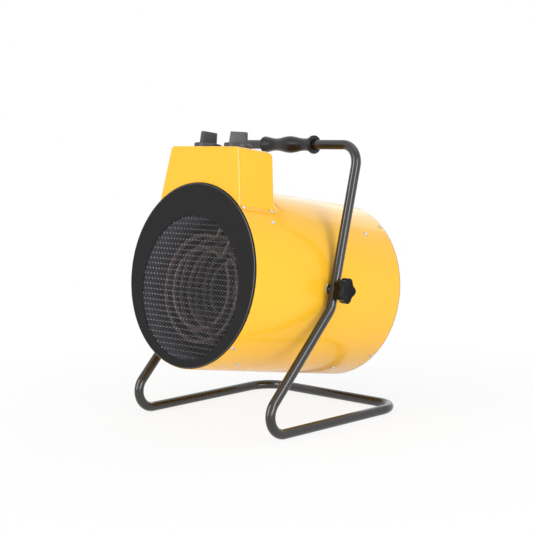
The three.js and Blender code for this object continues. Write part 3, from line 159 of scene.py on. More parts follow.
def skin(grid, around=False, along=False, capped=False):
    """Quads between the neighbours of a grid of points. around closes the columns on
    themselves and along the rows; capped draws the first and last row into its middle."""
    if capped:
        ends = [np.broadcast_to(row.mean(1, keepdims=True), row.shape) for row in (grid[:1], grid[-1:])]
        grid = np.concatenate([ends[0], grid, ends[1]])
    rows, columns = grid.shape[:2]
    i = np.arange(rows if along else rows - 1)[:, None]
    here = np.arange(columns if around else columns - 1)[None, :]
    there = (here + 1) % columns
    low, high = i * columns, (i + 1) % rows * columns
    quads = points_of(low + here, low + there, high + there, high + here)
    return grid.reshape(-1, 3), quads.reshape(-1, 4)


def join(parts):
    """Several skins as one."""
    points, quads, offset = [], [], 0
    for part_points, part_quads in parts:
        points.append(part_points)
        quads.append(part_quads + offset)
        offset += len(part_points)
    return np.concatenate(points), np.concatenate(quads)


def plate(grid, thickness):
    """A closed sheet: the grid and a copy of it, set back along its normals by the thickness,
    joined round the edge by strips."""
    normal = np.cross(np.gradient(grid, axis=0), np.gradient(grid, axis=1))
    normal /= np.linalg.norm(normal, axis=-1, keepdims=True) + 1e-12
    back = grid - normal * thickness
    edges = [(grid[0], back[0]), (grid[-1], back[-1]), (grid[:, 0], back[:, 0]), (grid[:, -1], back[:, -1])]
    return join([skin(grid), skin(back)] + [skin(np.stack(edge)) for edge in edges])


def rounded(radius, start, end, steps, centre):
    """Points on an arc about a centre, from one angle to another, in degrees."""
    angle = np.radians(np.linspace(start, end, steps))
    return points_of(radius * np.cos(angle), radius * np.sin(angle)) + centre


def quarter_turn(steps):
    """Pairs 1 - cos and 1 - sin of the angles of a quarter turn: how far a rounded edge has
    drawn in, and how far it has still to go."""
    angle = np.linspace(0, math.pi / 2, steps)
    return points_of(1 - np.cos(angle), 1 - np.sin(angle))


def round_angles(count):
    return np.arange(count) * TAU / count


def polar(radius, angle, depth):
    """Points round the depth axis: x = r cos, a = depth, h = r sin."""
    return points_of(radius * np.cos(angle), depth, radius * np.sin(angle))


def revolve(profile, sides, closed=True, order=ABOUT_DEPTH):
    """Rows [radius, depth] turned about the depth axis, or about another one by the order of
    the coordinates. A closed profile joins its last row to its first."""
    radius, depth = np.array(profile, float).T[:, :, None]
    return skin(polar(radius, round_angles(sides), depth)[..., order], around=True, along=closed)


def rolled_sheet(radius, start, end, lip, steps, sides):
    """A turned wall twice as thick as its lip's radius: rounded front lip, inner face,
    rounded rear lip and outer face."""
    front = rounded(lip, 360, 180, steps, (radius - lip, start + lip))
    rear = rounded(lip, 180, 0, steps, (radius - lip, end - lip))
    return revolve(np.concatenate([front, rear]), sides)


def turned_ring(bore, radius, start, end, rim, steps, sides, order=ABOUT_DEPTH):
    """A turned ring with a plain bore and both outer rims rounded."""
    rims = [rounded(rim, 270, 360, steps, (radius - rim, start + rim)),
            rounded(rim, 0, 90, steps, (radius - rim, end - rim))]
    return revolve(np.concatenate([[(bore, start)], *rims, [(bore, end)]]), sides, order=order)


def tube(path, tangents, radius, sides, reference):
    """A round section carried along a path. The section's axes come from a fixed direction
    with its part along the path taken away, and the cross product of the two."""
    across = unit(reference - tangents * (tangents @ reference)[:, None])
    upward = np.cross(tangents, across)
    angle = round_angles(sides)[:, None]
    grid = path[:, None] + radius * (across[:, None] * np.cos(angle) + upward[:, None] * np.sin(angle))
    return skin(grid, around=True, capped=True)


def dress(name, material):
    """Gives a solid a finish in place of its plain one."""
    NODES[name].data.materials.clear()
    NODES[name].data.materials.append(material)


def piece(name, parts, place, body, material, replaced=(), sharp=35):
    """Places a skin, welds its seams and poles, turns its faces outwards, shades it smooth
    but for edges sharper than `sharp` degrees, and rides it on its body."""
    points, quads = join(parts)
    mesh = bpy.data.meshes.new(name)
    mesh.from_pydata(place(points).tolist(), [], quads.tolist(), shade_flat=False)
    work = bmesh.new()
    work.from_mesh(mesh)
    bmesh.ops.remove_doubles(work, verts=work.verts, dist=WELD)
    bmesh.ops.dissolve_degenerate(work, edges=work.edges, dist=1e-7)
    bmesh.ops.recalc_face_normals(work, faces=work.faces)
    work.to_mesh(mesh)
    work.free()
    mesh.set_sharp_from_angle(angle=math.radians(sharp))
    mesh.materials.append(material)
    obj = bpy.data.objects.new(name, mesh)
    bpy.context.scene.collection.objects.link(obj)
    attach(obj, body)
    if replaced:
        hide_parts(*replaced)
    for node in replaced:
        dress(node, material)


# ---- finishes
DRUM_AXIS = (0, math.cos(DRUM_TILT), -math.sin(DRUM_TILT))


def linear(colour):
    """An sRGB hex value as linear red, green, blue and alpha."""
    srgb = np.array([colour >> 16, colour >> 8 & 255, colour & 255]) / 255
    rgb = np.where(srgb <= 0.04045, srgb / 12.92, ((srgb + 0.055) / 1.055) ** 2.4)
    return (*rgb.tolist(), 1.0)


def add_node(tree, kind, inputs=None, **settings):
    """Adds a node, sets its settings, gives each input a value or another node's output, and
    returns its outputs."""
    node = tree.nodes.new("ShaderNode" + kind)
    for key, value in settings.items():
        setattr(node, key, value)
    for key, value in (inputs or {}).items():
        if isinstance(value, bpy.types.NodeSocket):
            tree.links.new(value, node.inputs[key])
        else:
            node.inputs[key].default_value = value
    return node.outputs


def per_metre(size_mm):
    """Noise scale whose blotches are about this many millimetres across."""
    return 1 / (size_mm * MM)


def finish(name, colour, roughness, **sockets):
    """A material with its main shader set; returns it with its tree, shader and Object place."""
    material = bpy.data.materials.new(name)
    material.use_nodes = True
    tree = material.node_tree
    shader = tree.nodes["Principled BSDF"]
    sockets |= {"Base_Color": linear(colour), "Roughness": roughness}
    for key, value in sockets.items():
        shader.inputs[key.replace("_", " ")].default_value = value
    return material, tree, shader, add_node(tree, "TexCoord")["Object"]


def vary(tree, pattern, colours, gloss, height, depth_mm):
    """Carries the middle of a pattern onto the main shader's colour and roughness, from the
    first of each pair to the second, and raises the surface by a height."""
    shader = tree.nodes["Principled BSDF"].inputs
    middle = {"Value": pattern, "From Min": 0.3, "From Max": 0.7}
    share = add_node(tree, "MapRange", middle)["Result"]
    ends = {0: share, 6: linear(colours[0]), 7: linear(colours[1])}
    tree.links.new(add_node(tree, "Mix", ends, data_type="RGBA")[2], shader["Base Color"])
    middle |= {"To Min": gloss[0], "To Max": gloss[1]}
    tree.links.new(add_node(tree, "MapRange", middle)["Result"], shader["Roughness"])
    relief = {"Height": height, "Distance": depth_mm * MM}
    tree.links.new(add_node(tree, "Bump", relief)["Normal"], shader["Normal"])


def grained(name, colours, roughness, gloss, drift, grain, depth_mm, **sockets):
    """A film or moulding: colour and gloss drift with a slow noise, and a fine noise raises
    the surface. Gloss gives shares of the roughness, and a noise is its size in mm and detail."""
    material, tree, _, place = finish(name, colours[0], roughness, **sockets)
    slow, fine = (
        add_node(tree, "TexNoise", {"Vector": place, "Scale": per_metre(size), "Detail": detail})["Fac"]
        for size, detail in (drift, grain))
    vary(tree, slow, colours, [roughness * share for share in gloss], fine, depth_mm)
    return material


def powder_coat(name, colour, shade, roughness, peel_mm, depth_mm, **sockets):
    """Powder coat: the melted grains level out into a faint orange peel, and the film's
    thickness and gloss drift a little over the panel."""
    drift, peel = (60, 3.0), (peel_mm, 1.0)
    return grained(name, (colour, shade), roughness, (0.9, 1.12), drift, peel, depth_mm, **sockets)


def moulded(name, colour, shade, roughness, grain_mm, depth_mm, **sockets):
    """Injection moulded plastic: the tool's spark-eroded grain, with flow marks that change
    the gloss slowly."""
    flow, grain = (18, 2.0), (grain_mm, 3.0)
    return grained(name, (colour, shade), roughness, (0.85, 1.2), flow, grain, depth_mm, **sockets)


def bare_metal(name, colour, shade, roughness, patch_mm, line_mm, depth_mm, squeeze=1, **sockets):
    """Bare or plated metal: patches of crystal or heat colour, and rolling or turning lines
    drawn out along the depth. An oxide skin makes it less metallic."""
    material, tree, _, place = finish(name, colour, roughness, **{"Metallic": 1.0} | sockets)
    patches = add_node(tree, "TexVoronoi", {"Vector": place, "Scale": per_metre(patch_mm)})["Color"]
    patch = add_node(tree, "RGBToBW", {"Color": patches})["Val"]
    drawn = add_node(tree, "Mapping", {"Vector": place, "Scale": (1, squeeze, 1)})["Vector"]
    lines = add_node(tree, "TexNoise", {"Vector": drawn, "Scale": per_metre(line_mm), "Detail": 2.0})["Fac"]
    vary(tree, patch, (colour, shade), (roughness * 0.8, roughness * 1.25), lines, depth_mm)
    return material


def from_pivot(tree, direction=DRUM_AXIS):
    """The place measured from the pivot, and its part along a direction, both in metres."""
    place = add_node(tree, "TexCoord")["Object"]
    offset = add_node(tree, "VectorMath", {0: place, 1: PIVOT}, operation="SUBTRACT")["Vector"]
    along = add_node(tree, "VectorMath", {0: offset, 1: direction}, operation="DOT_PRODUCT")["Value"]
    return offset, along


def within_radius(tree, radius):
    """1 where the place is nearer than a radius to the drum's axis, else 0. The distance is
    the length of the place less its part along the axis."""
    offset, along = from_pivot(tree)
    straight = add_node(tree, "VectorMath", {0: DRUM_AXIS, "Scale": along}, operation="SCALE")["Vector"]
    distance = add_node(tree, "VectorMath", {0: offset, 1: straight}, operation="DISTANCE")["Value"]
    return add_node(tree, "Math", {0: distance, 1: radius * MM}, operation="LESS_THAN")[0]


def recolour(tree, share, colour):
    """Runs the main shader's colour into another one by a share."""
    base = tree.nodes["Principled BSDF"].inputs["Base Color"]
    ends = {0: share, 6: base.links[0].from_socket, 7: linear(colour)}
    tree.links.new(add_node(tree, "Mix", ends, data_type="RGBA")[2], base)


def painted_bend_highlight(material, colour):
    """Painted highlight on a sheet's turned edge: the colour pales where the surface turns from the
    drum's axis."""
    tree = material.node_tree
    normal = add_node(tree, "TexCoord")["Normal"]
    facing = add_node(tree, "VectorMath", {0: normal, 1: DRUM_AXIS}, operation="DOT_PRODUCT")["Value"]
    facing = add_node(tree, "Math", {0: facing}, operation="ABSOLUTE")[0]
    turned = {"Value": facing, "From Min": 0.25, "From Max": 0.75, "To Min": 1, "To Max": 0}
    recolour(tree, add_node(tree, "MapRange", turned)["Result"], colour)


def painted_light_ramp(material, colour, start, end, direction=DRUM_AXIS):
    """Painted light and shade: a material's colour runs into another one between two distances
    from the pivot along a direction, in mm."""
    tree = material.node_tree
    reach = {"Value": from_pivot(tree, direction)[1], "From Min": start * MM, "From Max": end * MM}
    recolour(tree, add_node(tree, "MapRange", reach)["Result"], colour)


def primed_inside(material, radius, colour):
    """Pre-coated sheet: the finish outside a radius, a thin primer inside it."""
    recolour(material.node_tree, within_radius(material.node_tree, radius), colour)


def rubbed_edge(material, near, far, rubbed):
    """A film rubbed smooth between two radii from the drum's axis, where it reflects more."""
    tree = material.node_tree
    inner, outer = within_radius(tree, near), within_radius(tree, far)
    edge = add_node(tree, "Math", {0: outer, 1: inner}, operation="SUBTRACT")[0]
    for socket, value in rubbed.items():
        target = tree.nodes["Principled BSDF"].inputs[socket]
        start = target.links[0].from_socket if target.is_linked else target.default_value
        blend = add_node(tree, "MapRange", {"Value": edge, "To Min": start, "To Max": value})
        tree.links.new(blend["Result"], target)


# Polyester powder coat on sheet steel, cured glossy; orange peel with waves of about 3 mm.
YELLOW, YELLOW_SHADE = 0xFCC032, 0xFBBD2E
GLOSSY_PEEL = (0.24, 3.0, 0.012)  # roughness, and a wave's width and depth in mm
GLOSSY_FILM = {"Specular_IOR_Level": 0.25, "Coat_Weight": 0.18, "Coat_Roughness": 0.05}
yellow_coat = powder_coat("powder_coated_steel_yellow", YELLOW, YELLOW_SHADE, *GLOSSY_PEEL, **GLOSSY_FILM)
# The box's cover in the same coat, with a painted highlight: pale over its turned edge.
cover_coat = powder_coat("powder_coated_steel_cover", YELLOW, YELLOW_SHADE, *GLOSSY_PEEL, **GLOSSY_FILM)
painted_bend_highlight(cover_coat, 0xFFDC94)
# The drum's sheet: an even coat of the same yellow outside, a thin grey primer inside.
drum_coat = powder_coat("powder_coated_steel_drum", YELLOW, YELLOW, *GLOSSY_PEEL, **GLOSSY_FILM)
primed_inside(drum_coat, DRUM_RADIUS - SHEET * 0.7, 0x77777B)
# Matt powder coat on the rings: a fine dry texture, which scatters the light and dulls it.
MATT_BLACK = (0x1C1B1C, 0x201F20, 0.6, 0.9, 0.02)
black_coat = powder_coat("powder_coated_steel_black", *MATT_BLACK, Specular_IOR_Level=0.12)
# On the front ring's rolled edge the film is rubbed smooth and shines, but for its last 0.8 mm.
ring_coat = powder_coat("powder_coated_front_ring", *MATT_BLACK, Specular_IOR_Level=0.12)
RUBBED = {"Roughness": 0.25, "Specular IOR Level": 0.75}
rubbed_edge(ring_coat, RING_EDGE - RING_BEAD, RING_EDGE - 0.8, RUBBED)
# Wire guard in the same coat, where the round wires hold a thicker, shinier film.
guard_coat = powder_coat("powder_coated_wire", 0x1E1E1F, 0x272728, 0.42, 1.2, 0.02, Specular_IOR_Level=0.35)
# Expanded steel mesh, thinly coated: the stretched strands show grey.
mesh_coat = powder_coat("thinly_coated_mesh", 0x424143, 0x4B4A4C, 0.45, 1.2, 0.02, Specular_IOR_Level=0.25)
# The uncut bonds between the strands, where the coat is thin: light grey, partly a painted highlight on each
# knuckle.
bond_coat_and_highlight = powder_coat("mesh_bond_coat_and_painted_highlight", 0xB4B3B5, 0xA6A5A7, 0.4, 1.2, 0.01, Specular_IOR_Level=0.35)
# Painted light: the bonds are lighter on the left and darker towards the right, as if a lamp on the left
# caught them.
painted_light_ramp(bond_coat_and_highlight, 0x7E7D7F, -70, 30, (1, 0, 0))
# Satin powder coat on bent tube: smooth along the tube, with a narrow long highlight.
tube_coat = powder_coat("powder_coated_tube", 0x1C1817, 0x211D1B, 0.18, 2.0, 0.002, Specular_IOR_Level=0.72)
# Moulded polypropylene grip: dark, smooth from handling, with a waxy sheen.
grip_moulding = moulded(
    "moulded_polypropylene", 0x181617, 0x1F1C1D, 0.27, 0.8, 0.006, Specular_IOR_Level=0.34)
# Moulded ABS knobs: spark-eroded matt grain.
knob_moulding = moulded("moulded_abs", 0x3E3B3D, 0x474446, 0.4, 0.5, 0.02, Specular_IOR_Level=0.4)
# Pressed phenolic resin of the star knobs: hard, dense and glossy.
star_moulding = moulded("pressed_phenolic", 0x0A0909, 0x100E0E, 0.18, 6.0, 0.02, Specular_IOR_Level=0.17)
# Nylon of the gland, switch and terminal bodies.
nylon_moulding = moulded("moulded_nylon", 0x2F3133, 0x383A3C, 0.45, 0.7, 0.02)
# Zinc plate on fasteners: bright, cool, with a faint spangle under a millimetre across.
zinc = bare_metal("zinc_plated_steel", 0xD2D4D8, 0xB9BCC2, 0.26, 0.9, 0.4, 0.004)
# Galvanised sheet of the duct, dulled by heat: spangles of several millimetres.
duct_sheet = bare_metal("galvanised_sheet_steel", 0x878897, 0x7D7E8B, 0.5, 9.0, 1.5, 0.01, squeeze=0.15,
                        Metallic=0.3, Specular_IOR_Level=0.1)
# Painted shade: the duct darkens to near black from 15 to 70 mm behind the front, deeper in its dim inside,
# and keeps its zinc grey at the front edge.
painted_light_ramp(duct_sheet, 0x181616, 15 - FRONT_TO_PIVOT, 70 - FRONT_TO_PIVOT)
# Alloy sheath of the elements, browned by heat to an oxide skin, with faint drawing lines.
element_sheath = bare_metal("heat_browned_alloy_sheath", 0x6C5E57, 0x5D514B, 0.5, 5.0, 0.6, 0.02,
                            Metallic=0.3, Specular_IOR_Level=0.2)
# Element supports and terminal plate: zinc burnt off by the heat, a dull brown grey.
burnt_plate = bare_metal("heat_dulled_steel", 0x4A4340, 0x3E3936, 0.6, 3.0, 0.6, 0.01,
                         Metallic=0.3, Specular_IOR_Level=0.1)
# Stamped and die-cast aluminium of the fan and motor with rolling lines, darkened to a deep grey: painted
# shade of the drum's dim inside.
aluminium = bare_metal("mill_finish_aluminium_painted_shade", 0x3C3E42, 0x343639, 0.4, 3.0, 0.5, 0.01, squeeze=0.2)

# ---- drum
drum_wall = rolled_sheet(DRUM_RADIUS, 0, DRUM_LENGTH, SHEET / 2, 9, 240)
piece("drum_wall", [drum_wall], in_drum, "heater", drum_coat, ["drum_shell"])


def end_ring(stand, bead, edge, lift):
    """Circles x = r cos, h = centre + r sin, whose radius, centre and depth run from the
    opening's rear edge over the flat face, round the rolled edge and into the skirt. The
    share carries the centre from the opening's up to the drum's axis."""
    face, back = -stand, SHEET - stand
    start, flat_edge, shift = OPENING_RADIUS + 0.5, edge - bead, 1 + lift / OPENING_DROP
    rows = [(OPENING_RADIUS, 0, back), (OPENING_RADIUS, 0, face + 0.4)]
    rows += [(OPENING_RADIUS + 0.15, 0, face + 0.12)]
    rows += [(start + (flat_edge - start) * k, k * shift, face) for k in np.linspace(0, 1, 9)]
    rows += [(r, shift, a) for r, a in rounded(bead, 280, 360, 12, (flat_edge, face + bead))]
    rows += [(edge, shift, -GAP - 0.1), (edge - 0.1, shift, -GAP)]
    inner = SKIRT_RADIUS - SHEET
    rows += [(SKIRT_RADIUS, 1, -GAP), (SKIRT_RADIUS, 1, RING_SKIRT)]
    rows += [(inner, 1, RING_SKIRT), (inner, 1, back + 1), (inner - 1, 1, back)]
    radius, share, depth = np.array(rows).T[:, :, None]
    grid = polar(radius, round_angles(192), depth)
    grid[..., 2] += OPENING_DROP * (share - 1)
    return grid


front_ring = end_ring(RING_STAND, RING_BEAD, RING_EDGE, RING_LIFT)
rear_ring = end_ring(REAR_STAND, REAR_BEAD, REAR_EDGE, 0) * (1, -1, 1) + (0, DRUM_LENGTH, 0)
for name, grid, coat in (("front_ring", front_ring, ring_coat), ("rear_ring", rear_ring, black_coat)):
    piece(f"{name}_plate", [skin(grid, around=True, along=True)], in_drum, "heater", coat,
          [name])

# ---- front mesh
DIAMOND_WIDTH = 7.6
DIAMOND_HEIGHT = 17.0
STRAND_WIDTH = 0.75
STRAND_THICKNESS = 0.8
STRAND_LEAN = 0.55  # most lean of a strand's section, in radians
KNUCKLE_CLIP = 1.25  # the wave's height before it is cut flat at the knuckles
BOND_HALF = (0.8, 1.15)  # half its width and height
BOND_LEAN = math.radians(25)  # its face looks up and forwards
BOND_LAYERS = np.array([-0.5, 0.62])  # its back and its face, from the middle of the mesh
BOND_MARGIN = 3.5
MESH_RADIUS = OPENING_RADIUS + 5
MESH_DEPTH = RING_BACK + GAP + 0.6  # middle of the mesh


def expanded_mesh():
    """Upright zigzag ribbons side by side. A ribbon's x is its mean plus a clipped triangle
    wave of its height, in opposite step to its neighbours, so that they meet at the knuckles;
    each ribbon's section leans, and leans over at each knuckle."""
    spacing = DIAMOND_WIDTH / 2
    count = int(MESH_RADIUS / spacing)
    columns = np.arange(-count, count + 1)
    columns = columns[np.abs((columns + 0.5) * spacing) < MESH_RADIUS - 1]
    mean, step = (columns[:, None] + 0.5) * spacing, np.where(columns % 2, 1, -1)[:, None]
    share = np.linspace(-1, 1, int(2 * MESH_RADIUS / DIAMOND_HEIGHT * 10))
    height = np.sqrt(MESH_RADIUS ** 2 - mean ** 2) * share
    phase = height / DIAMOND_HEIGHT
    wave = 4 * np.abs(phase - np.floor(phase + 0.5)) - 1
    reach = spacing / 2 - STRAND_WIDTH / 2 + 0.15
    across = mean + np.clip(wave * KNUCKLE_CLIP, -1, 1) * reach * step
    lean = (STRAND_LEAN * np.cos(TAU * phase) * step)[..., None]
    wide = np.array([-0.5, 0.5, 0.5, -0.5]) * STRAND_WIDTH
    deep = np.array([-0.5, -0.5, 0.5, 0.5]) * STRAND_THICKNESS
    x = across[..., None] + wide * np.cos(lean) - deep * np.sin(lean)
    a = MESH_DEPTH + wide * np.sin(lean) + deep * np.cos(lean)
    grid = points_of(x, a, height[..., None])
    return [skin(ribbon, around=True, capped=True) for ribbon in grid]


def mesh_bonds():
    """A small six-sided plate at each knuckle: one outline, leaned back and moved to every
    knuckle, row by row at half a diamond's height, alternate rows half a width across."""
    tilt_c, tilt_s = math.cos(BOND_LEAN), math.sin(BOND_LEAN)
    wide, high = BOND_HALF[0] * np.cos(round_angles(6)), BOND_HALF[1] * np.sin(round_angles(6))
    layers = points_of(wide, high * tilt_s, high * tilt_c) + BOND_LAYERS[:, None, None] * (0, -tilt_c, tilt_s)
    rows, columns = int(2 * MESH_RADIUS / DIAMOND_HEIGHT), int(MESH_RADIUS / DIAMOND_WIDTH) + 1
    row, column = np.mgrid[-rows:rows + 1, -columns:columns + 1]
    x, height = (column + row % 2 / 2) * DIAMOND_WIDTH, row * DIAMOND_HEIGHT / 2
    knuckles = points_of(x, MESH_DEPTH, height)[np.hypot(x, height) < MESH_RADIUS - BOND_MARGIN]
    return [skin(layers + knuckle, around=True, capped=True) for knuckle in knuckles]


def mesh_rim():
    """The flat border that the ring holds down."""
    inner, outer = MESH_RADIUS - 2, MESH_RADIUS + 1
    near, far = MESH_DEPTH - STRAND_THICKNESS / 2, MESH_DEPTH + STRAND_THICKNESS / 2
    return revolve([(inner, near), (outer, near), (outer, far), (inner, far)], 160)


piece("front_mesh", expanded_mesh() + [mesh_rim()], in_core, "heater", mesh_coat,
      ["front_grille"], sharp=30)
piece("mesh_bonds", mesh_bonds(), in_core, "heater", bond_coat_and_highlight, sharp=30)

# ---- rear guard
GUARD_WIRE = 1.6
GUARD_RINGS = 10
GUARD_SPOKES = [45, 135, 225, 315]
GUARD_HUB = 22.0
GUARD_OUTER = OPENING_RADIUS + 6 - GUARD_WIRE
GUARD_DEPTH = DRUM_LENGTH - REAR_BACK - GAP - GUARD_WIRE


def wire_ring(radius):
    """A torus: a small circle carried round a large one."""
    return revolve(rounded(GUARD_WIRE, 0, 360, 13, (radius, GUARD_DEPTH))[:-1], 120)


def wire_spoke(angle):
    """A straight wire from the hub ring to the outer ring, in front of the rings."""
    reach = np.linspace(GUARD_HUB - 2, GUARD_OUTER, 3)
    path = polar(reach, angle, GUARD_DEPTH - GUARD_WIRE * 1.6)
    out = np.broadcast_to(polar(1, angle, 0), path.shape)
    return tube(path, out, GUARD_WIRE, 12, DEEP)


guard_wires = [wire_ring(radius) for radius in np.linspace(GUARD_HUB, GUARD_OUTER, GUARD_RINGS)]
guard_wires += [wire_spoke(angle) for angle in np.radians(GUARD_SPOKES)]
piece("inlet_guard", guard_wires, in_core, "heater", guard_coat, ["rear_guard"])

# ---- duct and elements
DUCT_RADIUS = 120.0
DUCT_FRONT = RING_BACK + GAP + 1.2 + GAP
DUCT_END = 206.0
DUCT_LIP = 0.5
BRACKET_DEPTH = 57.0
BRACKET_HALF = (8.0, 7.0)  # half its pad's length round the drum, and half its width
PAD_INSET = 1.6  # pad inside the drum's wall
TERMINAL_ANGLE = math.radians(63)
ELEMENT_RADIUS = 3.5
ELEMENT_BEND = 8.0
ELEMENT_DEPTHS = [24.0, 57.0, 90.0]
ELEMENT_LOOPS = [[86.0, 66.0], [86.0, 66.0], [86.0, 66.0, 48.0]]
LOOP_ENDS = np.radians([-32, 12])  # where a loop turns back inside itself, by its direction
TAIL_OFFSET = 15.0
TAIL_REACH = 142.0


def duct_bracket(angle):
    """A strip from the duct that folds along the drum's wall."""
    wall = np.array([math.cos(math.radians(angle)), math.sin(math.radians(angle))])
    pad = wall * (DRUM_RADIUS - SHEET - PAD_INSET) + (0, OPENING_DROP)
    along = np.array([-wall[1], wall[0]]) * BRACKET_HALF[0]
    if along[0] * pad[0] > 0:
        along = -along
    corner = pad - along
    start = unit(corner) * (DUCT_RADIUS - 0.2)
    line = np.array([start, corner * 0.97 + start * 0.03, corner, corner * 0.94 + pad * 0.06, pad + along])
    depth = np.linspace(BRACKET_DEPTH - BRACKET_HALF[1], BRACKET_DEPTH + BRACKET_HALF[1], 3)
    return plate(points_of(line[:, :1], depth, line[:, 1:]), SHEET)


duct_parts = [rolled_sheet(DUCT_RADIUS, DUCT_FRONT, DUCT_END, DUCT_LIP, 7, 200)]
for angle in BRACKET_ANGLES:
    duct_parts += [duct_bracket(angle), duct_bracket(180 - angle)]
piece("air_duct", duct_parts, in_core, "heater", duct_sheet, ["inner_duct"])


def element(loops, depth):
    """Arcs in one plane: in beside the terminal line, round each loop, back inside it into
    the next, and out again. A point is radius cos along the terminal line plus radius sin
    across it."""
    outward, across = polar(1, np.array([TERMINAL_ANGLE, TERMINAL_ANGLE + math.pi / 2]), 0)
    path, heading = [], []

    def at(angle, radius):
        angle = np.asarray(angle, float)[..., None]
        return radius * (outward * np.cos(angle) + across * np.sin(angle))

    def arc(centre, radius, start, stop, steps):
        angle = np.linspace(start, stop, steps)
        path.append(centre + at(angle, radius))
        heading.append(at(angle + math.copysign(math.pi / 2, stop - start), 1))

    def tail(offset, first, last):
        ends = [outward * reach + across * offset for reach in (first, last)]
        path.append(ends[0] + (ends[1] - ends[0]) * np.linspace(0, 1, 4)[:, None])
        heading.append(np.broadcast_to(unit(ends[1] - ends[0]), (4, 3)))

    in_reach = loops[0] + ELEMENT_BEND
    angle = math.asin((TAIL_OFFSET + ELEMENT_BEND) / in_reach)
    entry = at(angle, in_reach)
    tail(TAIL_OFFSET, TAIL_REACH, float(entry @ outward))
    arc(entry, ELEMENT_BEND, -math.pi / 2, -math.pi + angle, 10)
    for number, radius in enumerate(loops[:-1]):
        forward = number % 2 == 0
        step = (radius - loops[number + 1]) / 2
        stop = LOOP_ENDS[number % 2]
        end = TAU + stop if forward else stop
        arc(np.zeros(3), radius, angle, end, 90)
        arc(at(stop, radius - step), step, stop, stop + math.pi if forward else stop - math.pi, 16)
        angle = end
    way = 1 if len(loops) % 2 else -1
    reach = loops[-1] + ELEMENT_BEND
    stop = -math.asin((TAIL_OFFSET + way * ELEMENT_BEND) / reach)
    arc(np.zeros(3), loops[-1], angle, TAU + stop if way > 0 else stop, 90)
    centre = at(stop, reach)
    arc(centre, ELEMENT_BEND, stop + way * math.pi, way * math.pi / 2, 10)
    tail(-TAIL_OFFSET, float(centre @ outward), TAIL_REACH)
    path, heading = np.concatenate(path) + (0, depth, 0), np.concatenate(heading)
    apart = np.linalg.norm(np.diff(path, axis=0), axis=1) > 1e-3
    keep = np.concatenate([[True], apart])
    return tube(path[keep], heading[keep], ELEMENT_RADIUS, 16, DEEP)


for number, (loops, depth) in enumerate(zip(ELEMENT_LOOPS, ELEMENT_DEPTHS), 1):
    piece(f"element_{number}", [element(loops, depth)], in_core, "heater", element_sheath,
          [f"heating_element_{number}"], sharp=60)

# ---- fan and motor
SHAFT_BORE = 4.6
FAN_RADIUS = 108.0
FAN_HUB = 24.0
FAN_HUB_HALF = 7.0
FAN_DEPTH = 234.0
FAN_BLADES = 5
BLADE_SHEET = 1.6
BLADE_ROOT = FAN_HUB * 0.7
BLADE_CHORD = (44.0, 78.0)  # at the root and the tip
BLADE_PITCH = (36.0, 20.0)
BLADE_CAMBER = 0.06
MOTOR_RADIUS = 42.0
MOTOR_FRONT = 254.0
MOTOR_END = MOTOR_FRONT + 56.0
MOTOR_FEET = MOTOR_FRONT + 26.0  # middle of its bracket
RIB_PITCH = 4.5


def fan_blade(turn):
    """Radius runs from hub to tip and the chord along it; pitch and chord change with radius,
    and the section is a thin cambered oval. x = r cos(angle), h = r sin(angle)."""
    share = np.linspace(0, 1, 28)[:, None]
    radius = BLADE_ROOT + (FAN_RADIUS - BLADE_ROOT) * share
    chord = BLADE_CHORD[0] + (BLADE_CHORD[1] - BLADE_CHORD[0]) * np.sqrt(share)
    pitch = np.radians(BLADE_PITCH[0] + (BLADE_PITCH[1] - BLADE_PITCH[0]) * share)
    loop = round_angles(40)
    along = 0.5 * np.cos(loop) * chord * (1 - 0.25 * share ** 6)
    face = 0.5 * np.sign(np.sin(loop)) * np.abs(np.sin(loop)) ** 0.4
    lift = BLADE_CAMBER * chord * (1 - np.cos(loop) ** 2) + face * BLADE_SHEET
    angle = turn + (along * np.cos(pitch) - lift * np.sin(pitch)) / np.maximum(radius, FAN_HUB)
    depth = FAN_DEPTH + along * np.sin(pitch) + lift * np.cos(pitch)
    return skin(polar(radius, angle, depth), around=True, capped=True)


fan_hub = turned_ring(SHAFT_BORE, FAN_HUB, FAN_DEPTH - FAN_HUB_HALF, FAN_DEPTH + FAN_HUB_HALF, 2, 6, 64)
piece("fan_wheel", [fan_hub] + [fan_blade(turn) for turn in round_angles(FAN_BLADES)],
      in_core, "fan", aluminium, ["fan_impeller"])


def motor_casing():
    """A drum-shaped casing with a bearing nose, ribbed at the middle by a shallow wave."""
    bore = [(POLE, 18), (SHAFT_BORE, 18), (SHAFT_BORE, 0)]
    nose = [(24, 0), (25.2, 0.6), (27.7, 6.6), (30, 7.4), (39, 9), (41.4, 11), (MOTOR_RADIUS, 14)]
    tail = [(MOTOR_RADIUS, 12), (41.2, 9), (37.8, 5), (17, 0), (POLE, 0)]
    rise = np.linspace(MOTOR_FRONT + 16, MOTOR_END - 14, 60)
    ribs = MOTOR_RADIUS - 0.7 + 0.6 * np.cos(TAU * (rise - MOTOR_FRONT) / RIB_PITCH)
    profile = [(radius, MOTOR_FRONT + behind) for radius, behind in bore + nose]
    profile += [*zip(ribs, rise), *[(radius, MOTOR_END - ahead) for radius, ahead in tail]]
    return revolve(profile, 96, closed=False)


piece("motor_casing", [motor_casing()], in_core, "heater", aluminium, ["fan_motor"], sharp=40)

# ---- stand
LEG = np.array([0, math.sin(LEG_LEAN), math.cos(LEG_LEAN)])
HANDLE = LEG * HANDLE_RISE


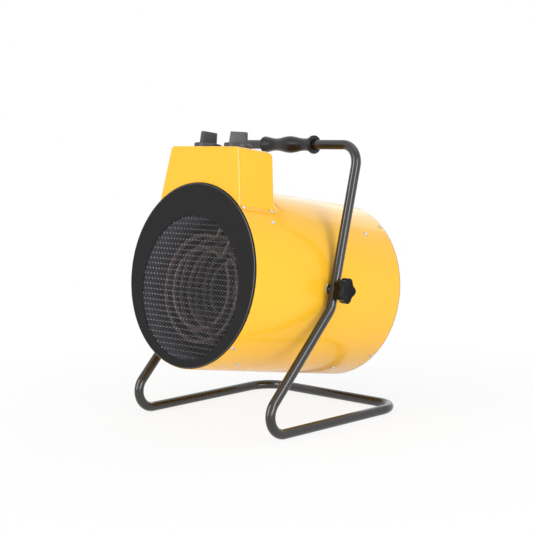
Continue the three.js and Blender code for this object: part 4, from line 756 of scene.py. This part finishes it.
def bent_path(corners, bends, step):
    """Straight runs joined by round bends. In a bend, a point is the centre minus the radius
    times cos along the inward direction, plus the radius times sin along the first run."""
    path, heading = [corners[0]], [unit(corners[1] - corners[0])]
    for before, corner, after, radius in zip(corners, corners[1:], corners[2:], bends):
        first, second = unit(corner - before), unit(after - corner)
        turn = math.acos(float(np.clip(first @ second, -1, 1)))
        inward = unit(second - first * math.cos(turn))
        centre = corner - first * radius * math.tan(turn / 2) + inward * radius
        angle = np.linspace(0, turn, max(3, math.ceil(turn / step)))[:, None]
        path += list(centre - inward * radius * np.cos(angle) + first * radius * np.sin(angle))
        heading += list(first * np.cos(angle) + inward * np.sin(angle))
    return np.array(path + [corners[-1]]), np.array(heading + [unit(corners[-1] - corners[-2])])


def stand_side(side):
    """The tube's corners on one side: handle, knee, foot and rear bar."""
    knee = LEG * -KNEE_DROP
    rail = TUBE_RADIUS - PIVOT_HEIGHT
    foot = (0, knee[1] - (knee[2] - rail) * math.tan(SHIN_LEAN), rail)
    corners = np.array([HANDLE, knee, foot, (0, REAR_BAR_DEPTH, rail)])
    return list(corners + (side * STAND_HALF_WIDTH, 0, 0))


def stand_tube():
    """One round tube from inside the grip down the right leg, along the ground and back up."""
    ends = [HANDLE + (side * 0.5, 0, 0) for side in (1, -1)]
    corners = [ends[0], *stand_side(1), *reversed(stand_side(-1)), ends[1]]
    path, heading = bent_path(corners, BENDS + BENDS[::-1], math.radians(3))
    return tube(path, heading, TUBE_RADIUS, 40, unit(np.array([1.0, -1, 1])))


piece("bent_tube", [stand_tube()], in_stand, "stand", tube_coat, ["stand_tube"], sharp=60)

GRIP_LENGTH = 122.0
GRIP_BORE = TUBE_RADIUS + 0.35
GRIP_WAIST = 10.4  # radius at the waists
GRIP_SWELL = 3.9
GRIP_WAVE = 67.0
GRIP_WAVE_SHIFT = 3.0
GRIP_ROUND = 4.0
GRIP_COLLAR = 15.5
GRIP_COLLAR_LENGTH = 5.0
GRIP_COLLAR_RIM = 1.6


def hand_grip():
    """Turned about the handle: swells on a cosine wave, rounded off at the left end and cut
    off by a collar with rounded rims at the right end."""
    bore, half, rim = GRIP_BORE, GRIP_LENGTH / 2, GRIP_COLLAR_RIM
    start, end = GRIP_ROUND - half, half - GRIP_COLLAR_LENGTH
    along = np.linspace(start, end - 1, 120)
    palm = GRIP_WAIST + GRIP_SWELL / 2 * (1 + np.cos(TAU * (along - GRIP_WAVE_SHIFT) / GRIP_WAVE))
    profile = np.concatenate([
        [(bore, 1.5 - half), (bore + 0.5, 0.5 - half), (bore + 1.2, -half)],
        rounded(GRIP_ROUND, 270, 355, 12, (palm[0] - GRIP_ROUND, start)),
        points_of(palm, along),
        rounded(1.0, 180, 95, 6, (palm[-1] + 1, end - 1)),
        rounded(1.0, 280, 360, 6, (GRIP_COLLAR - 1, end + 1)),
        rounded(rim, 0, 90, 8, (GRIP_COLLAR - rim, half - rim)),
        [(bore + 1.6, half), (bore + 0.5, half - 0.4), (bore, half - 1.5)]])
    return revolve(profile, 72, order=ABOUT_X)


def at_handle(points):
    return in_stand(points + HANDLE)


piece("finger_grip", [hand_grip()], at_handle, "stand", grip_moulding, ["handle_grip"])

# ---- control box
BOX_TOP = 209.0
BOX_TOP_HALF = 80.0
BOX_SLOPE = math.radians(10)
BOX_DEPTH = 76.0
BOX_EDGE = 7.5
BOX_REAR_EDGE = 8.0
BOX_SIDE_EDGE = 1.4  # the rear bend where it runs down the sides
BOX_FILLET = 1.5  # between the rear wall and its flange
COVER_BEND = 1.7
COVER_RETURN = COVER_BEND + 0.4  # depth of the cover's turned edge
BOX_START = COVER_RETURN + 0.8  # front edge of the box behind it
FLANGE_SPAN = math.radians(3.9)
FLANGE_OVERLAP = 0.004  # angle by which a side flange reaches into the box's side
FLANGE_RADIUS = DRUM_RADIUS + GAP + SHEET  # outer face of the flange
REAR_FLANGE = 12.0


def box_outline():
    """The box from the front: half of it runs from the middle of the top out over the bent
    edge and down the sloping side to the drum, and the other half mirrors it. Gives points,
    outward normals and a 0 to 1 share. The side meets the drum where x squared plus h squared
    is the flange radius squared."""
    slope, count = math.tan(BOX_SLOPE), 15
    far = BOX_TOP_HALF + BOX_TOP * slope
    bend = np.array([far - (BOX_TOP - BOX_EDGE) * slope - BOX_EDGE / math.cos(BOX_SLOPE), BOX_TOP - BOX_EDGE])
    top = points_of(np.linspace(0, bend[0], count + 1)[:-1], BOX_TOP)
    corner = rounded(BOX_EDGE, 90, math.degrees(BOX_SLOPE), 12, bend)
    root = math.sqrt((far * slope) ** 2 - (1 + slope ** 2) * (far ** 2 - FLANGE_RADIUS ** 2))
    foot_h = (far * slope + root) / (1 + slope ** 2)
    foot = np.array([far - foot_h * slope, foot_h])
    side = corner[-1] + (foot - corner[-1]) * np.linspace(0, 1, count + 1)[1:, None]
    half = np.concatenate([top, corner, side])
    normal = np.concatenate([np.tile([0.0, 1.0], (count, 1)), (corner - bend) / BOX_EDGE,
                             np.tile([math.cos(BOX_SLOPE), math.sin(BOX_SLOPE)], (count, 1))])
    outline, normals = (np.concatenate([part[:0:-1] * (-1, 1), part]) for part in (half, normal))
    length = np.concatenate([[0], np.cumsum(np.linalg.norm(np.diff(outline, axis=0), axis=1))])
    return outline, normals, length / length[-1]


OUTLINE, OUTLINE_NORMAL, OUTLINE_SHARE = box_outline()
FOOT_ANGLE = math.atan2(OUTLINE[-1][1], OUTLINE[-1][0])


def outline_row(depth, inset=0.0):
    """The box's outline at a depth, drawn in along its normals."""
    drawn = OUTLINE - OUTLINE_NORMAL * np.reshape(inset, (-1, 1))
    return points_of(drawn[:, 0], depth, drawn[:, 1])


def drum_row(radius, depth):
    """The drum's round from the left foot to the right foot, at the outline's shares."""
    return polar(radius, math.pi - FOOT_ANGLE + (2 * FOOT_ANGLE - math.pi) * OUTLINE_SHARE, depth)


def wall_rows(inset, radius, depth):
    """Rows of a flat wall from the drawn-in outline down to the drum's round."""
    edge, low = outline_row(depth, inset), drum_row(radius, depth)
    return [edge + (low - edge) * share for share in np.linspace(0, 1, 12)[1:]]


def box_body():
    """Rows of the outline run back from the cover, turn in round the rear edge (a wide bend
    along the top, a tight one down the sides), fill the rear wall down to the drum, and turn
    out along it as a flange."""
    upness = np.clip(OUTLINE_NORMAL[:, 1], 0, 1) ** 2
    bend = BOX_SIDE_EDGE + (BOX_REAR_EDGE - BOX_SIDE_EDGE) * upness
    start = BOX_START + 0.5
    rows = [outline_row(BOX_START, 0.5), outline_row(BOX_START + 0.15, 0.15)]
    rows += [outline_row(start + (BOX_DEPTH - bend - start) * share) for share in np.linspace(0, 1, 14)]
    rows += [outline_row(BOX_DEPTH - bend * short, bend * inset) for inset, short in quarter_turn(9)[1:]]
    rows += wall_rows(bend, FLANGE_RADIUS + BOX_FILLET, BOX_DEPTH)
    rows += [drum_row(FLANGE_RADIUS + short, BOX_DEPTH + out)
             for out, short in BOX_FILLET * quarter_turn(5)[1:]]
    rows.append(drum_row(FLANGE_RADIUS, BOX_DEPTH + REAR_FLANGE))
    return plate(np.array(rows)[:, ::-1], SHEET)


def side_flange(side):
    """A band on the drum outside the box's foot, at the flange's radius; its rear edge runs
    slanting from the low corner out to the rear flange."""
    share = np.linspace(0, 1, 8)[:, None]
    angle = FOOT_ANGLE + FLANGE_OVERLAP - FLANGE_SPAN * (1 - share)
    depth = BOX_START + (BOX_DEPTH + REAR_FLANGE * share - BOX_START) * np.linspace(0, 1, 12)
    grid = polar(FLANGE_RADIUS, angle, depth) * (side, 1, 1)
    return plate(grid if side < 0 else grid[:, ::-1], SHEET)


def box_front():
    """The cover's edge turns round from its rear over a small bend onto the flat face, which
    runs down to the drum's round."""
    rows = [outline_row(COVER_RETURN)]
    rows += [outline_row(depth, inset) for inset, depth in COVER_BEND * quarter_turn(8)]
    rows += wall_rows(COVER_BEND, DRUM_RADIUS + GAP, 0.0)
    return plate(np.array(rows), SHEET * 0.9)


piece("box_shell", [box_body(), side_flange(1), side_flange(-1)], in_drum, "heater",
      yellow_coat, ["control_box_body"])
piece("box_cover", [box_front()], in_drum, "heater", cover_coat, ["control_box_front"])

# ---- control knobs
KNOB_SPREAD = 36.0
KNOB_DEPTH = 40.0
KNOB_RADIUS = 22.6
KNOB_BASE = 9.0
KNOB_RIM = 1.6
BAR_LENGTH = 31.0
BAR_TOP_LENGTH = 28.0
BAR_THICKNESS = 8.0
BAR_HEIGHT = 19.0
BAR_CORNER = 0.9
BAR_EDGE = 0.7
KNOBS = (("thermostat", -1, 86), ("switch", 1, 20))  # side of the box and turn in degrees


def bar_row(length, width, height):
    """The corner arcs of a rectangle in turn, joined by its straight sides, at a height."""
    arcs = []
    for number, (x, y) in enumerate([(1, 1), (-1, 1), (-1, -1), (1, -1)]):
        centre = (x * (length / 2 - BAR_CORNER), y * (width / 2 - BAR_CORNER))
        arcs.append(rounded(BAR_CORNER, 90 * number, 90 * number + 90, 6, centre))
    return points_of(*np.concatenate(arcs).T, height)


def knob_bar():
    """A bar whose outline shortens towards the top and draws in round the top edge."""
    foot, top = KNOB_BASE * 0.5, KNOB_BASE + BAR_HEIGHT
    taper = (BAR_TOP_LENGTH - BAR_LENGTH) / (top - foot)
    rows = [bar_row(BAR_LENGTH + taper * (height - foot), BAR_THICKNESS, height)
            for height in np.linspace(foot, top - BAR_EDGE, 6)]
    rows += [bar_row(BAR_TOP_LENGTH - 2 * inset, BAR_THICKNESS - 2 * inset, top - short)
             for inset, short in BAR_EDGE * quarter_turn(5)[1:]]
    return skin(np.array(rows), around=True, capped=True)


def knob_skirt():
    """A low turned skirt with a rounded rim, dished towards the bar."""
    foot = [(POLE, 0.0), (KNOB_RADIUS - 0.5, 0.0), (KNOB_RADIUS, 0.5)]
    rim = rounded(KNOB_RIM, 0, 80, 8, (KNOB_RADIUS - KNOB_RIM, KNOB_BASE - 2.0))
    dish = [(19.0, KNOB_BASE), (15.5, KNOB_BASE + 0.7), (12.5, KNOB_BASE + 1), (POLE, KNOB_BASE + 1)]
    return revolve(np.concatenate([foot, rim, dish]), 96, closed=False, order=ABOUT_HEIGHT)


def knob_place(side, turn):
    """Turned about its own axis, then set on the box's top."""
    c, s = math.cos(math.radians(turn)), math.sin(math.radians(turn))
    spin = np.array([[c, s, 0], [-s, c, 0], [0, 0, 1]])
    centre = (side * KNOB_SPREAD, KNOB_DEPTH, BOX_TOP + GAP)
    return lambda points: in_drum(points @ spin + centre)


for name, side, turn in KNOBS:
    piece(f"{name}_dial", [knob_skirt(), knob_bar()], knob_place(side, turn), f"{name}_control",
          knob_moulding, [f"{name}_knob"], sharp=40)

# ---- star knobs
STAR_RADIUS = 19.0
STAR_LOBE = 2.3
STAR_LOBES = 5
STAR_THICKNESS = 15.0
STAR_EDGE = 1.8
STAR_BOSS = 6.0
BOSS_START = STAND_HALF_WIDTH + TUBE_RADIUS + GAP
STAR_START = BOSS_START + STAR_BOSS
STAR_END = STAR_START + STAR_THICKNESS
WASHER_BORE, WASHER_RADIUS, WASHER_RIM = 4.4, 9.5, 0.6
WASHER_SPAN = (DRUM_RADIUS + GAP, STAND_HALF_WIDTH - TUBE_RADIUS - GAP)


def star_knob():
    """Rows of x, radius and lobe depth from the back over the rounded rim to the flat face:
    the radius at an angle is the row's radius plus its lobe depth times cos of five times
    the angle."""
    rim, face = STAR_EDGE * quarter_turn(7), STAR_END - 0.6
    rows = [(STAR_START, POLE, 0), (STAR_START, 7.0, 0), (STAR_START, 10.0, 0.4)]
    rows += [(STAR_START + out, STAR_RADIUS - short, STAR_LOBE) for out, short in rim]
    rows += [(STAR_END - short, STAR_RADIUS - inset, STAR_LOBE) for inset, short in rim]
    rows += [(STAR_END - 0.1, 13.5, 1.2), (STAR_END - 0.5, 12.5, 0.9), (face, 6.0, 0), (face, POLE, 0)]
    x, radius, lobe = np.array(rows).T[:, :, None]
    angle = round_angles(160)
    grid = polar(radius + lobe * np.cos(STAR_LOBES * angle), angle, x)
    return skin(grid[..., ABOUT_X], around=True)


def insert_collar():
    """The plated insert between the star and the tube: a short turned ring."""
    end = BOSS_START + STAR_BOSS - 0.1
    profile = [(4.3, BOSS_START), (6.4, BOSS_START), (6.8, BOSS_START + 0.4), (6.8, end), (4.3, end)]
    return revolve(profile, 48, order=ABOUT_X)


def pivot_washer():
    """The washer that keeps the drum's wall off the tube."""
    return turned_ring(WASHER_BORE, WASHER_RADIUS, *WASHER_SPAN, WASHER_RIM, 5, 56, order=ABOUT_X)


def at_pivot(side):
    """Points along +X from the pivot, for the left side turned half round; the clamp tilts
    with the drum."""
    return lambda points: tilted(points * (side, side, 1))


for name, side in SIDES:
    piece(f"star_{name}", [star_knob()], at_pivot(side), f"clamp_{name}", star_moulding,
          [f"star_knob_{name}"], sharp=50)
    piece(f"star_insert_{name}", [insert_collar()], at_pivot(side), f"clamp_{name}", zinc)
    piece(f"pivot_spacer_{name}", [pivot_washer()], at_pivot(side), "heater", zinc,
          [f"pivot_washer_{name}"])

# ---- screws
SCREW_HEAD = 3.5
SCREW_HEAD_HEIGHT = 2.3
SCREW_REACH = 8.0
SCREW_SHANK = 2.1
RECESS_DEPTH = 1.1
RECESS_ARM = (0.62, 2.1)  # half its width, and how far it reaches from the axis
UPPER_BRACKET, LOWER_BRACKET = BRACKET_ANGLES
# angle round the drum from +X, depth, radius of the seat
SCREWS = {
    "cover_screw_front": (48.6, 6.0, FLANGE_RADIUS),
    "cover_screw_rear": (48.6, 67.0, FLANGE_RADIUS),
    "ring_screw": (-44.5, 5.5, DRUM_RADIUS),
    "duct_screw_upper": (UPPER_BRACKET, BRACKET_DEPTH, DRUM_RADIUS),
    "duct_screw_lower": (LOWER_BRACKET, BRACKET_DEPTH, DRUM_RADIUS),
    "motor_screw_upper": (40.7, MOTOR_FEET, DRUM_RADIUS),
    "motor_screw_lower": (-62.5, MOTOR_FEET, DRUM_RADIUS),
    "rear_screw_upper": (49.8, DRUM_LENGTH - 5, DRUM_RADIUS),
    "rear_screw_lower": (-45.3, DRUM_LENGTH - 5, DRUM_RADIUS),
}


def screw(seat):
    """Rows out from the tip: shank, flat under the head, and a domed top that falls into a
    cross recess where |x| or |y| is small: x and y about the axis, z outwards."""
    shank = [(POLE, -SCREW_REACH), (1.4, -SCREW_REACH), (SCREW_SHANK, 1.2 - SCREW_REACH),
             (SCREW_SHANK, 0.05), (SCREW_HEAD - 0.3, 0.05), (SCREW_HEAD, 0.35)]
    turn = np.linspace(0, math.pi / 2, 14)[1:]
    rise = 0.4 + (SCREW_HEAD_HEIGHT - 0.4) * np.sin(turn) ** 0.8
    dome = points_of(SCREW_HEAD * np.cos(turn) + POLE, rise)
    radius, z = np.concatenate([shank, dome]).T[:, :, None]
    x, y = radius * np.cos(round_angles(48)), radius * np.sin(round_angles(48))
    arm = np.minimum(np.abs(x), np.abs(y))
    recess = np.clip((RECESS_ARM[0] - arm) / 0.25, 0, 1) * np.clip((RECESS_ARM[1] - radius) / 0.3, 0, 1)
    recess[:len(shank)] = 0
    return skin(points_of(x, y, seat + z - RECESS_DEPTH * recess), around=True)


def screw_place(angle, depth, side):
    """z along the drum's radius, y along its depth, x round it."""
    out = polar(1, math.radians(angle), 0) * (side, 1, 1)
    axes = np.stack([np.cross(DEEP, out), DEEP, out])
    return lambda points: in_drum(points @ axes + DEEP * depth)


for name, (angle, depth, seat) in SCREWS.items():
    for side_name, side in SIDES:
        piece(f"pan_{name}_{side_name}", [screw(seat)], screw_place(angle, depth, side), "heater",
              zinc, [f"{name}_{side_name}"], sharp=45)

# ---- cable gland
GLAND_HEIGHT = 189.5
GLAND_HEXAGON = 13.2
GLAND_SEAT = BOX_DEPTH + GAP
GLAND_BORE = 5.0


def gland_body():
    """Turned barrel with a domed nut and a bore for the cable."""
    seat, inside = GLAND_SEAT, BOX_DEPTH - 9
    barrel = [(GLAND_BORE, inside), (8.0, inside), (8.0, seat), (10.4, seat)]
    nut = [(11.0, seat + 6.4), (11.0, seat + 7), (10.8, seat + 12.6)]
    dome = rounded(1.0, 0, 90, 10, (0, 0)) * (4.6, 6.0) + (6.2, seat + 12.6)
    return revolve(np.concatenate([barrel, nut, dome, [(GLAND_BORE, seat + 18.4)]]), 72)


def gland_hexagon():
    """A hexagon ring: the wall's radius is the flat's distance over the cosine of the angle
    from the middle of the flat, and its corners are drawn in at both faces."""
    angle = round_angles(72)
    half = math.pi / 6
    wall = GLAND_HEXAGON * math.cos(half) / np.cos((angle + half) % (2 * half) - half)
    broken = np.minimum(wall, GLAND_HEXAGON - 0.8)
    rows = [(6.0, 0), (broken, 0), (wall, 0.5), (wall, 5.5), (broken, 6), (6.0, 6)]
    grid = np.array([polar(radius, angle, GLAND_SEAT + up) for radius, up in rows])
    return skin(grid, around=True, along=True)


def at_gland(points):
    return in_drum(points + (0, 0, GLAND_HEIGHT))


piece("gland_fitting", [gland_body(), gland_hexagon()], at_gland, "heater", nylon_moulding,
      ["cable_gland"])

# ---- carried-over solids
SOLID_FINISH = {
    burnt_plate: ["terminal_plate", "element_support_right", "element_support_left"],
    zinc: ["motor_bracket", "motor_shaft", "fan_nut", "thermostat_spindle", "switch_spindle",
           "star_stud_right", "star_stud_left", "pivot_nut_right", "pivot_nut_left"],
    nylon_moulding: ["thermal_cutout", "thermostat_body", "rotary_switch_body", "terminal_block",
                     "cable_gland_nut"],
}
for material, names in SOLID_FINISH.items():
    for name in names:
        dress(name, material)

# ---- studio
FLOOR_HALF = 6.0
FLOOR_GLOW = {"From Min": 0.2, "From Max": 0.75, "To Min": 0.86, "To Max": 1.0}  # metres to shares
WHITE = (1, 1, 1, 1)
FILL = 0.41
AIM = (0, 0, 0.22)
# place in metres, width and height, watts
LAMPS = {
    "key_softbox": ((-0.6, -2.4, 1.1), (1.0, 2.0), 34),
    "side_softbox": ((2.43, -0.43, 1.15), (0.9, 1.9), 26),
    "low_softbox": ((2.2, -0.6, 0.25), (2.0, 0.5), 12),
    "top_softbox": ((0.2, 0.4, 2.6), (2.0, 2.0), 7),
    "rear_softbox": ((-1.0, 2.2, 1.25), (1.6, 1.4), 6),
}


def seen_by(tree, *rays):
    """1 for a ray of one of these kinds, else 0."""
    path = add_node(tree, "LightPath")
    seen = path[rays[0]]
    for ray in rays[1:]:
        seen = add_node(tree, "Math", {0: seen, 1: path[ray]}, operation="MAXIMUM")[0]
    return seen


def add_floor():
    """A pale floor; the camera sees it white away from the object and nearly white under it,
    with the object's shadow left in it."""
    mesh = bpy.data.meshes.new("studio_floor")
    corners = [(x * FLOOR_HALF, y * FLOOR_HALF, 0) for x, y in ((-1, -1), (1, -1), (1, 1), (-1, 1))]
    mesh.from_pydata(corners, [], [(0, 1, 2, 3)])
    material, tree, shader, place = finish("matt_studio_floor", 0xF8F8F8, 0.9, Specular_IOR_Level=0.0)
    apart = add_node(tree, "VectorMath", {0: place}, operation="LENGTH")["Value"]
    blend = add_node(tree, "MapRange", {"Value": apart} | FLOOR_GLOW)["Result"]
    seen = seen_by(tree, "Is Camera Ray", "Is Glossy Ray")
    share = add_node(tree, "Math", {0: seen, 1: blend}, operation="MULTIPLY")[0]
    glow = add_node(tree, "Emission", {"Color": WHITE, "Strength": 1.0})[0]
    mixed = add_node(tree, "MixShader", {0: share, 1: shader.outputs[0], 2: glow})[0]
    tree.links.new(mixed, tree.nodes["Material Output"].inputs["Surface"])
    mesh.materials.append(material)
    floor = bpy.data.objects.new("studio_floor", mesh)
    bpy.context.scene.collection.objects.link(floor)


def add_world():
    """Dim even light for the surfaces; white where the camera, gloss or glass sees it."""
    world = bpy.data.worlds.new("studio")
    world.use_nodes = True
    tree = world.node_tree
    tree.nodes.clear()
    seen = seen_by(tree, "Is Camera Ray", "Is Glossy Ray", "Is Transmission Ray")
    fill, white = (add_node(tree, "Background", {"Color": WHITE, "Strength": s})[0] for s in (FILL, 1.0))
    mixed = add_node(tree, "MixShader", {0: seen, 1: fill, 2: white})[0]
    add_node(tree, "OutputWorld", {"Surface": mixed})
    bpy.context.scene.world = world


def add_lamp(name, place, size, watts):
    data = bpy.data.lights.new(name, "AREA")
    data.shape = "RECTANGLE"
    data.size, data.size_y = size
    data.energy = watts
    lamp = bpy.data.objects.new(name, data)
    lamp.location = place
    lamp.rotation_euler = (Vector(AIM) - Vector(place)).to_track_quat("-Z", "Y").to_euler()
    bpy.context.scene.collection.objects.link(lamp)


add_floor()
add_world()
for name, settings in LAMPS.items():
    add_lamp(name, *settings)
bpy.context.scene.view_settings.view_transform = "Standard"
